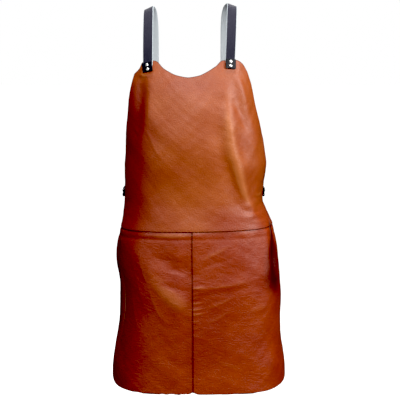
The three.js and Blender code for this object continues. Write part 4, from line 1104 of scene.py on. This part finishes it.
def strap_route(ear):
    at, along, rise, out, _, _ = ear_seat(ear)
    cross = crossing(ear["sign"])
    seat = at + out * SEATED_STRAP
    tilt = math.radians(-ear["tilt"] * ear["sign"])
    crown = np.array([ear["sign"] * ear["crown"] * CROWN_SPACING / 2, 0,
                      ear["lift"] * STRAP_WIDTH + WEBBING / 2 / math.cos(tilt)])
    low = seat + rise * (STRAP_END_INSET - TAB_HEIGHT / 2)
    high = seat + rise * TAB_HEIGHT / 2
    front = [np.array([between(high[0], crown[0], r), high[1] * a, between(high[2], crown[2], r)])
             for a, r in STRAP_FRONT]
    turn = turn_line(cross["at"], UP, cross["out"], WEBBING + GAP, BELT_WIDTH / 2 + SEAT_GAP,
                     BELT_LEG, BELT_RETURN)[::-1]
    back = [np.array([between(crown[0], cross["at"][0], s), cross["at"][1] * b,
                      between(crown[2], turn[0][2], f)])
            for b, f, s in STRAP_BACK]
    free = through([high, *front, crown, *back, turn[0]], STRAP_STEPS)
    crown_share = (len(front) + 1) / (len(front) + len(back) + 2)
    crown_side = np.array([math.cos(tilt), 0, math.sin(tilt)])
    sides = []
    for share in np.linspace(0, 1, len(free)):
        if share < crown_share:
            sides.append(between(along, crown_side, share / crown_share))
        else:
            turned = min(1, (share - crown_share) / (1 - crown_share) / 0.4)
            sides.append(between(crown_side, cross["width"], turned))
    line = [low, *free, *turn[1:]]
    riveted = (turn[1] + turn[-1]) / 2
    return line, [along, *sides, *[cross["width"]] * (len(turn) - 1)], cross, riveted


loop_seats = {}
for side, ear in EARS.items():
    line, sides, cross, riveted = strap_route(ear)
    swept_strip("webbing_strap_" + side, line, sides, STRAP_WIDTH, WEBBING,
                [navy, pale, pale], ["shoulder_strap_" + side])
    loop_seats[side] = (cross, riveted)

# %% [markdown]
# ## Side fittings and belt
#
# A short black leather tab is folded round the front bar of each ring and riveted to the bib.
# The belt half turns round the ring's rear bar, runs round the back and turns round the buckle.

# %% Side tabs and belt halves
def belt_route(sign, rear_bar, ring_across):
    closing = 3.2 * WEBBING_TURN
    belt_back = backward(ring_across + sign * (RING_BARS + closing) / QUARTER_GIRTH, sign)
    belt_out = np.array([belt_back[1], -belt_back[0], 0]) * sign
    buckle_bar = belt_point(2, SIDE_TAB_MIDDLE) + np.array([sign * (BUCKLE_LENGTH - BAR) / 2, 0, 0])
    at_ring = turn_line(rear_bar, belt_back, belt_out, WEBBING_TURN, 0, BELT_LEG, 0)
    at_buckle = turn_line(buckle_bar, np.array([sign, 0.0, 0.0]), np.array([0.0, 1.0, 0.0]),
                          WEBBING_TURN, 0, BELT_LEG, 0)[::-1]
    ring_end = place_on_form(rear_bar + belt_back * closing, sign)
    buckle_end = place_on_form(buckle_bar + np.array([sign * closing, 0, 0]), sign)
    cross = crossing(sign)
    start, end = cross["across"] - cross["reach"], cross["across"] + cross["reach"]

    def after_ring(share, level):
        return belt_point(between(ring_end[0], start, share),
                          between(ring_end[1], SIDE_TAB_MIDDLE, share) + level)

    def before_buckle(share, level):
        return belt_point(between(end, buckle_end[0], share),
                          between(SIDE_TAB_MIDDLE, buckle_end[1], share) + level)

    ring_share = BELT_RETURN / (abs(start - ring_end[0]) * QUARTER_GIRTH)
    buckle_share = min(0.9, BELT_RETURN / (abs(buckle_end[0] - end) * QUARTER_GIRTH))
    legs = np.linspace(0.1, 1, 10)
    inside = [after_ring(s * ring_share, -BELT_LEG) for s in legs[::-1]]
    outside = [after_ring(s * ring_share, BELT_LEG) for s in legs]
    on = [after_ring(between(ring_share, 1, s), BELT_LEG) for s in np.linspace(0.05, 0.95, 24)]
    towards = [before_buckle(s, BELT_LEG) for s in np.linspace(1 - buckle_share, 1 - buckle_share / 2, 6)]
    back = [before_buckle(s, -BELT_LEG) for s in np.linspace(1 - buckle_share / 2, 1 - buckle_share, 6)]
    points = [*inside, *at_ring, *outside, *on, *cross["ends"], *towards, *at_buckle, *back]
    return points, len(inside) + len(at_ring) + len(outside)

# %% [markdown]
# ## Black tab leather, rivets and hardware
#
# The tabs are cut from dull black leather, with a scored line near the edge. The rivets are
# nickel silver caps, bright but rubbed. The rings are black enamelled steel and the buckle is
# moulded plastic. These two stay as the frame has them, with a small bevel on their bars.

# %% Finishes of the small parts
def black_leather():
    finish, tree, shader = new_finish("black_tab_leather", 0.5, Specular_IOR_Level=0.45)
    place = add_node(tree, "ShaderNodeTexCoord").outputs["Object"]
    cells = add_node(tree, "ShaderNodeTexVoronoi", {"Vector": place, "Scale": 1100.0}, feature="SMOOTH_F1")
    clouds = add_node(tree, "ShaderNodeTexNoise", {"Vector": place, "Scale": 60.0, "Detail": 4.0})
    colour = mix_colour(tree, clouds.outputs["Fac"], srgb(10, 10, 13), srgb(34, 33, 36))
    tree.links.new(colour, shader.inputs["Base Color"])
    tree.links.new(remap(tree, clouds.outputs["Fac"], 0.3, 0.7, 0.6, 0.42), shader.inputs["Roughness"])
    bump = add_node(tree, "ShaderNodeBump", {"Height": cells.outputs["Distance"], "Distance": 0.0001})
    bump.invert = True
    tree.links.new(bump.outputs[0], shader.inputs["Normal"])
    return finish


def rubbed_metal(name, colour_a, colour_b, metallic, rough_low, rough_high):
    finish, tree, shader = new_finish(name, rough_low, Metallic=metallic)
    place = add_node(tree, "ShaderNodeTexCoord").outputs["Object"]
    rub = add_node(tree, "ShaderNodeTexNoise", {"Vector": place, "Scale": 420.0, "Detail": 5.0})
    colour = mix_colour(tree, rub.outputs["Fac"], colour_a, colour_b)
    tree.links.new(colour, shader.inputs["Base Color"])
    tree.links.new(remap(tree, rub.outputs["Fac"], 0.3, 0.7, rough_low, rough_high), shader.inputs["Roughness"])
    scratch = add_node(tree, "ShaderNodeBump", {"Height": rub.outputs["Fac"], "Distance": 0.00004})
    tree.links.new(scratch.outputs[0], shader.inputs["Normal"])
    return finish


tab_black = black_leather()
nickel = rubbed_metal("nickel_cap", srgb(222, 222, 220), srgb(242, 240, 236), 1.0, 0.30, 0.45)
enamel = rubbed_metal("black_enamel", srgb(14, 14, 15), srgb(34, 34, 36), 0.3, 0.35, 0.6)
plastic = rubbed_metal("black_plastic", srgb(16, 16, 18), srgb(30, 30, 33), 0.0, 0.5, 0.7)

# %% Rivets
RIVET_SIDES = 40


def rivet(name, node, point, outward, grip):
    """Domed cap outside, shank, flat cap inside, turned about its own axis."""
    cap, inner, shank = RIVET_CAP / 2, 0.9 * RIVET_CAP / 2, 1.5 * MM
    low = -grip - SEAT_GAP
    dome = [(cap * math.cos(a), GAP + 0.25 * MM + (RIVET_DOME - 0.25 * MM) * math.sin(a))
            for a in np.linspace(0, math.pi / 2, 12)[:-1]]
    profile = [(0.3 * inner, low - 0.9 * MM), (0.85 * inner, low - 0.8 * MM), (inner, low - 0.5 * MM),
               (inner, low - 0.15 * MM), (0.93 * inner, low), (shank, low), (shank, GAP),
               (0.93 * cap, GAP), (cap, GAP + 0.1 * MM), *dome]
    axis = Vector(outward).to_track_quat("Z", "Y").to_matrix()
    spin = np.linspace(0, 2 * math.pi, RIVET_SIDES, endpoint=False)
    rings = [[(r * math.cos(a), r * math.sin(a), h) for a in spin] for r, h in profile]
    local = np.array(rings).reshape(-1, 3)
    local = np.vstack([local, [(0, 0, profile[0][1]), (0, 0, GAP + RIVET_DOME)]])
    points = local @ np.array(axis).T + point
    at = np.arange(len(profile) * RIVET_SIDES).reshape(len(profile), RIVET_SIDES)
    nexts = np.roll(at, -1, axis=1)
    faces = np.stack([at[:-1], nexts[:-1], nexts[1:], at[1:]], -1).reshape(-1, 4).tolist()
    bottom, top = len(local) - 2, len(local) - 1
    faces += [(int(b), int(a), bottom) for a, b in zip(at[0], nexts[0])]
    faces += [(int(a), int(b), top) for a, b in zip(at[-1], nexts[-1])]
    piece = new_piece(name, points, faces, [nickel])
    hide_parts(node)
    return piece


# %% Side tabs, rings and belts in place
for side, sign in (("left", -1), ("right", 1)):
    at, along, rise, out = form_frame(SIDE_ACROSS[sign], BELT_UP)
    back = along * sign
    middle = at + out * SIDE_TAB_MIDDLE
    front_bar = middle + back * (SIDE_TAB_LENGTH / 2 + 3.2 * TAB_TURN)
    ring_across = place_on_form(front_bar, sign)[0] + sign * RING_BARS / 2 / QUARTER_GIRTH
    ring_back = backward(ring_across, sign)
    rear_bar = front_bar + ring_back * RING_BARS
    fold = turn_line(front_bar, -back, out, TAB_TURN, 0, (TAB_LEATHER + GAP) / 2, SIDE_TAB_LENGTH - 4 * MM)
    swept_strip("side_tab_leather_" + side, fold, [rise] * len(fold), BELT_WIDTH, TAB_LEATHER,
                [tab_black, tab_black, tab_black], ["side_tab_" + side])
    pile = SEAT_GAP + 2 * TAB_LEATHER + GAP
    for level, offset in (("upper", 0.5), ("lower", -0.5)):
        point = at + rise * offset * RIVET_PITCH + out * pile
        rivet("cap_side_" + side + "_" + level, "side_rivet_" + side + "_" + level, point, out, pile + LEATHER)
    ring_rise = unit(rise - ring_back * (rise @ ring_back))
    points, turned = belt_route(sign, rear_bar, ring_across)
    widths = [ring_rise] * turned + [UP] * (len(points) - turned)
    swept_strip("webbing_belt_" + side, points, widths, BELT_WIDTH, WEBBING, [black, black, black],
                ["belt_" + side])

# %% Strap tabs and their rivets
TAB_SIDES = 15
TAB_RINGS = [1.0, 1.0, 0.985, 0.96, 0.93, 0.90, 0.86, 0.82, 0.6, 0.35, 0.12]


def tab_outline():
    """Rounded outline of a strap tab."""
    w, h, r = TAB_WIDTH / 2, TAB_HEIGHT / 2, TAB_CORNER
    points = []
    for cx, cy, start in ((w - r, -h + r, -90), (w - r, h - r, 0), (-w + r, h - r, 90), (-w + r, -h + r, 180)):
        for angle in np.linspace(start, start + 90, 6):
            points.append((cx + r * math.cos(math.radians(angle)), cy + r * math.sin(math.radians(angle))))
        nx, ny = {-90: (w, 0), 0: (0, h), 90: (-w, 0), 180: (0, -h)}[start]
        last = np.array(points[-1])
        other = np.array([2 * nx - last[0] if nx == 0 else nx, 2 * ny - last[1] if ny == 0 else ny])
        points += [tuple(last + (other - last) * k / TAB_SIDES) for k in range(1, TAB_SIDES)]
    return np.array(points)


def strap_tab(side, ear):
    at, _, _, out, along, rise = ear_seat(ear)
    outline = tab_outline()
    heights = [0.0, 0.7, 0.9, 0.98, 1.0, 0.90, 0.98, 1.0, 1.0, 1.0, 1.0]
    rings = []
    for share, height in zip(TAB_RINGS, heights):
        ring = outline * share
        z = np.full(len(ring), TAB_LEATHER * height)
        rings.append(np.column_stack([ring, z]))
    local = np.vstack([*rings, [(0, 0, TAB_LEATHER)], [(0, 0, 0)]])
    edge = (np.abs(local[:, 0]) / TAB_WIDTH * 2) ** 4
    local[:, 2] += 0.35 * MM * edge * (local[:, 1] / TAB_HEIGHT * 2 < -0.2)
    basis = np.array([along, rise, out])
    points = local @ basis + at + out * TAB_BACK
    around = len(outline)
    ring_at = np.arange(len(rings) * around).reshape(len(rings), around)
    nexts = np.roll(ring_at, -1, axis=1)
    faces = np.stack([ring_at[:-1], nexts[:-1], nexts[1:], ring_at[1:]], -1).reshape(-1, 4).tolist()
    top, bottom = len(local) - 2, len(local) - 1
    faces += [(int(a), int(b), top) for a, b in zip(ring_at[-1], nexts[-1])]
    faces += [(int(b), int(a), bottom) for a, b in zip(ring_at[0], nexts[0])]
    piece = new_piece("tab_leather_" + side, points, faces, [tab_black])
    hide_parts("strap_tab_" + side)
    grip = TAB_BACK + TAB_LEATHER + LEATHER
    for level, offset in (("upper", 0.5), ("lower", -0.5)):
        point = at + rise * offset * RIVET_PITCH + out * (TAB_BACK + TAB_LEATHER)
        rivet("cap_tab_" + side + "_" + level, "tab_rivet_" + side + "_" + level, point, out, grip)


for side, ear in EARS.items():
    strap_tab(side, ear)
    cross, riveted = loop_seats[side]
    rivet("cap_loop_" + side, "loop_rivet_" + side,
          riveted + cross["out"] * (BELT_LEG + WEBBING / 2), cross["out"], 2 * WEBBING + GAP)

# %% Rings and buckle
for name, finish in (("ring_left", enamel), ("ring_right", enamel), ("belt_buckle", plastic)):
    node = frame["nodes"][name]
    node.data.materials.clear()
    node.data.materials.append(finish)
    bevel = node.modifiers.new("worn_corners", "BEVEL")
    bevel.width = 0.5 * MM
    bevel.segments = 3
    bevel.limit_method = "ANGLE"
print("rings and buckle keep their frame solids")

# %% [markdown]
# ## Stitches
#
# The waist seam and the centre seam are sewn with thick brown thread, one stitch every 4 mm. The
# bib's lower edge holds one row and the right panel's free edge holds another. A stitch is a
# small bead that dips into the leather at both ends.

# %% Thread
def thread_finish():
    finish, tree, shader = new_finish("brown_thread", 0.7)
    place = add_node(tree, "ShaderNodeTexCoord").outputs["Object"]
    twist = add_node(tree, "ShaderNodeTexNoise", {"Vector": place, "Scale": 1500.0, "Detail": 2.0})
    colour = mix_colour(tree, twist.outputs["Fac"], srgb(96, 40, 16), srgb(150, 74, 34))
    tree.links.new(colour, shader.inputs["Base Color"])
    bump = add_node(tree, "ShaderNodeBump", {"Height": twist.outputs["Fac"], "Distance": 0.0001})
    tree.links.new(bump.outputs[0], shader.inputs["Normal"])
    return finish


thread = thread_finish()
STITCH = 3.0 * MM
STITCH_PITCH = 4.0 * MM
THREAD = 0.35 * MM


def stitch_row(name, places, relief, inset):
    """Row of stitches along a line of places across and up."""
    across, up = places
    point, _, _, out = form_frame(across, up)
    surface = point + out * (relief(across, up) - inset)[..., None]
    length = np.concatenate([[0], np.cumsum(np.linalg.norm(np.diff(surface, axis=0), axis=1))])
    starts = np.arange(STITCH_PITCH, length[-1] - STITCH_PITCH, STITCH_PITCH)
    spin = np.linspace(0, 2 * math.pi, 6, endpoint=False)
    points, faces = [], []
    for start in starts:
        base = len(points)
        for k, t in enumerate(np.linspace(0, 1, 5)):
            s = start + t * STITCH
            centre = np.array([np.interp(s, length, surface[:, c]) for c in range(3)])
            normal = unit(np.array([np.interp(s, length, out[:, c]) for c in range(3)]))
            ahead = np.array([np.interp(s + 0.5 * MM, length, surface[:, c]) for c in range(3)])
            run = unit(ahead - centre + 1e-9)
            sideways = unit(np.cross(run, normal))
            fat = THREAD * (0.55, 0.95, 1.0, 0.95, 0.55)[k]
            lift = THREAD * (-0.7, 0.15, 0.35, 0.15, -0.7)[k]
            for a in spin:
                points.append(centre + normal * (lift + fat * math.sin(a)) + sideways * fat * math.cos(a))
        for k in range(4):
            for j in range(6):
                a, b = base + 6 * k + j, base + 6 * k + (j + 1) % 6
                faces.append((a, b, b + 6, a + 6))
        faces.append(tuple(base + j for j in range(5, -1, -1)))
        faces.append(tuple(base + 24 + j for j in range(6)))
    piece = new_piece(name, points, faces, [thread])
    print(name, len(starts), "stitches")
    return piece


SEAM_TO_STITCHES = 5 * MM
line = np.linspace(-1.10, 1.10, 900)
stitch_row("waist_stitches", (line, np.full(900, SEAM_TO_STITCHES / BIB_HEIGHT)), bib_relief, 0.0 * line)
fall = np.linspace(-0.012, -0.975, 700)
stitch_row("centre_stitches", (seam_across(fall) + SEAM_TO_STITCHES / QUARTER_GIRTH, fall), right_relief,
           np.full(700, SKIRT_INSET))

# %% [markdown]
# ## Floor, light and camera
#
# The photograph has a plain white ground and a large soft light from the viewer's right, which
# leaves the left side dark and red. A weaker light stands in front, a very weak one fills the
# left, and one behind shows the flesh side. A wide overhead sun lights the floor, which lies well
# below the hem. The floor takes light but gives none back, so that it stays pale and the apron
# keeps its contrast. The view's black point is raised a little, because the photograph's darks
# are deep and strong in colour. That is a setting of the picture and not of any material.

# %% Stage
def pale_ground():
    finish, tree, shader = new_finish("pale_ground", 0.9)
    place = add_node(tree, "ShaderNodeTexCoord").outputs["Object"]
    dust = add_node(tree, "ShaderNodeTexNoise", {"Vector": place, "Scale": 0.6})
    colour = mix_colour(tree, dust.outputs["Fac"], (0.86, 0.86, 0.86, 1), (0.9, 0.9, 0.9, 1))
    tree.links.new(colour, shader.inputs["Base Color"])
    return finish


FLOOR_LEVEL = -1.6
ground = bpy.data.meshes.new("floor")
FLOOR_REACH = 30
ground.from_pydata([(x * FLOOR_REACH, y * FLOOR_REACH, FLOOR_LEVEL)
                    for x, y in ((-1, -1), (1, -1), (1, 1), (-1, 1))], [], [(0, 1, 2, 3)])
ground.materials.append(pale_ground())
floor = bpy.data.objects.new("floor", ground)
scene.collection.objects.link(floor)
floor.visible_diffuse = False
floor.visible_glossy = False

world = bpy.data.worlds.new("studio")
scene.world = world
world.use_nodes = True
tree = world.node_tree
tree.nodes.clear()
seen = add_node(tree, "ShaderNodeBackground", {"Color": (1, 1, 1, 1), "Strength": 1.0})
lit = add_node(tree, "ShaderNodeBackground", {"Color": (1, 1, 1, 1), "Strength": 0.14})
mirrored = add_node(tree, "ShaderNodeBackground", {"Color": (1, 1, 1, 1), "Strength": 0.05})
ray = add_node(tree, "ShaderNodeLightPath")
unseen = add_node(tree, "ShaderNodeMixShader",
                  {0: ray.outputs["Is Glossy Ray"], 1: lit.outputs[0], 2: mirrored.outputs[0]})
both = add_node(tree, "ShaderNodeMixShader",
                {0: ray.outputs["Is Camera Ray"], 1: unseen.outputs[0], 2: seen.outputs[0]})
add_node(tree, "ShaderNodeOutputWorld", {0: both.outputs[0]})


def soft_light(name, place, target, size, power):
    """Square soft box at a place, turned to a target."""
    lamp = bpy.data.lights.new(name, "AREA")
    lamp.size = size
    lamp.energy = power
    holder = bpy.data.objects.new(name, lamp)
    holder.location = place
    holder.rotation_mode = "QUATERNION"
    holder.rotation_quaternion = (Vector(target) - Vector(place)).to_track_quat("-Z", "Y")
    scene.collection.objects.link(holder)


soft_light("key", (2.35, -1.75, 0.6), (0.0, 0.0, -0.40), 1.3, 64)
soft_light("front", (0.0, -2.8, 1.1), (0.0, 0.0, -0.35), 1.1, 43)
soft_light("left_fill", (-1.7, -2.4, 0.2), (0.0, 0.0, -0.40), 1.0, 8)
soft_light("back", (0.4, 2.3, 1.3), (0.0, 0.05, -0.45), 0.9, 42)
sky = bpy.data.lights.new("overhead", "SUN")
sky.energy = 3.6
sky.angle = math.radians(40)
overhead = bpy.data.objects.new("overhead", sky)
scene.collection.objects.link(overhead)

CAMERA_PLACE = (27.3 * MM, -3.2, -53.5 * MM)
LOOKS_DOWN = 7.956
LENS_LENGTH = 110.77
lens = bpy.data.cameras.new("view")
lens.lens = LENS_LENGTH
lens.sensor_width = 36
camera = bpy.data.objects.new("view", lens)
camera.location = CAMERA_PLACE
camera.rotation_euler = (math.radians(90 - LOOKS_DOWN), 0, 0)
scene.collection.objects.link(camera)
scene.camera = camera
scene.view_settings.view_transform = "Standard"
scene.view_settings.look = "None"
BLACK_POINT = (0.04, 0.039, 0.035)
scene.view_settings.use_curve_mapping = True
scene.view_settings.curve_mapping.black_level = BLACK_POINT
scene.view_settings.curve_mapping.update()
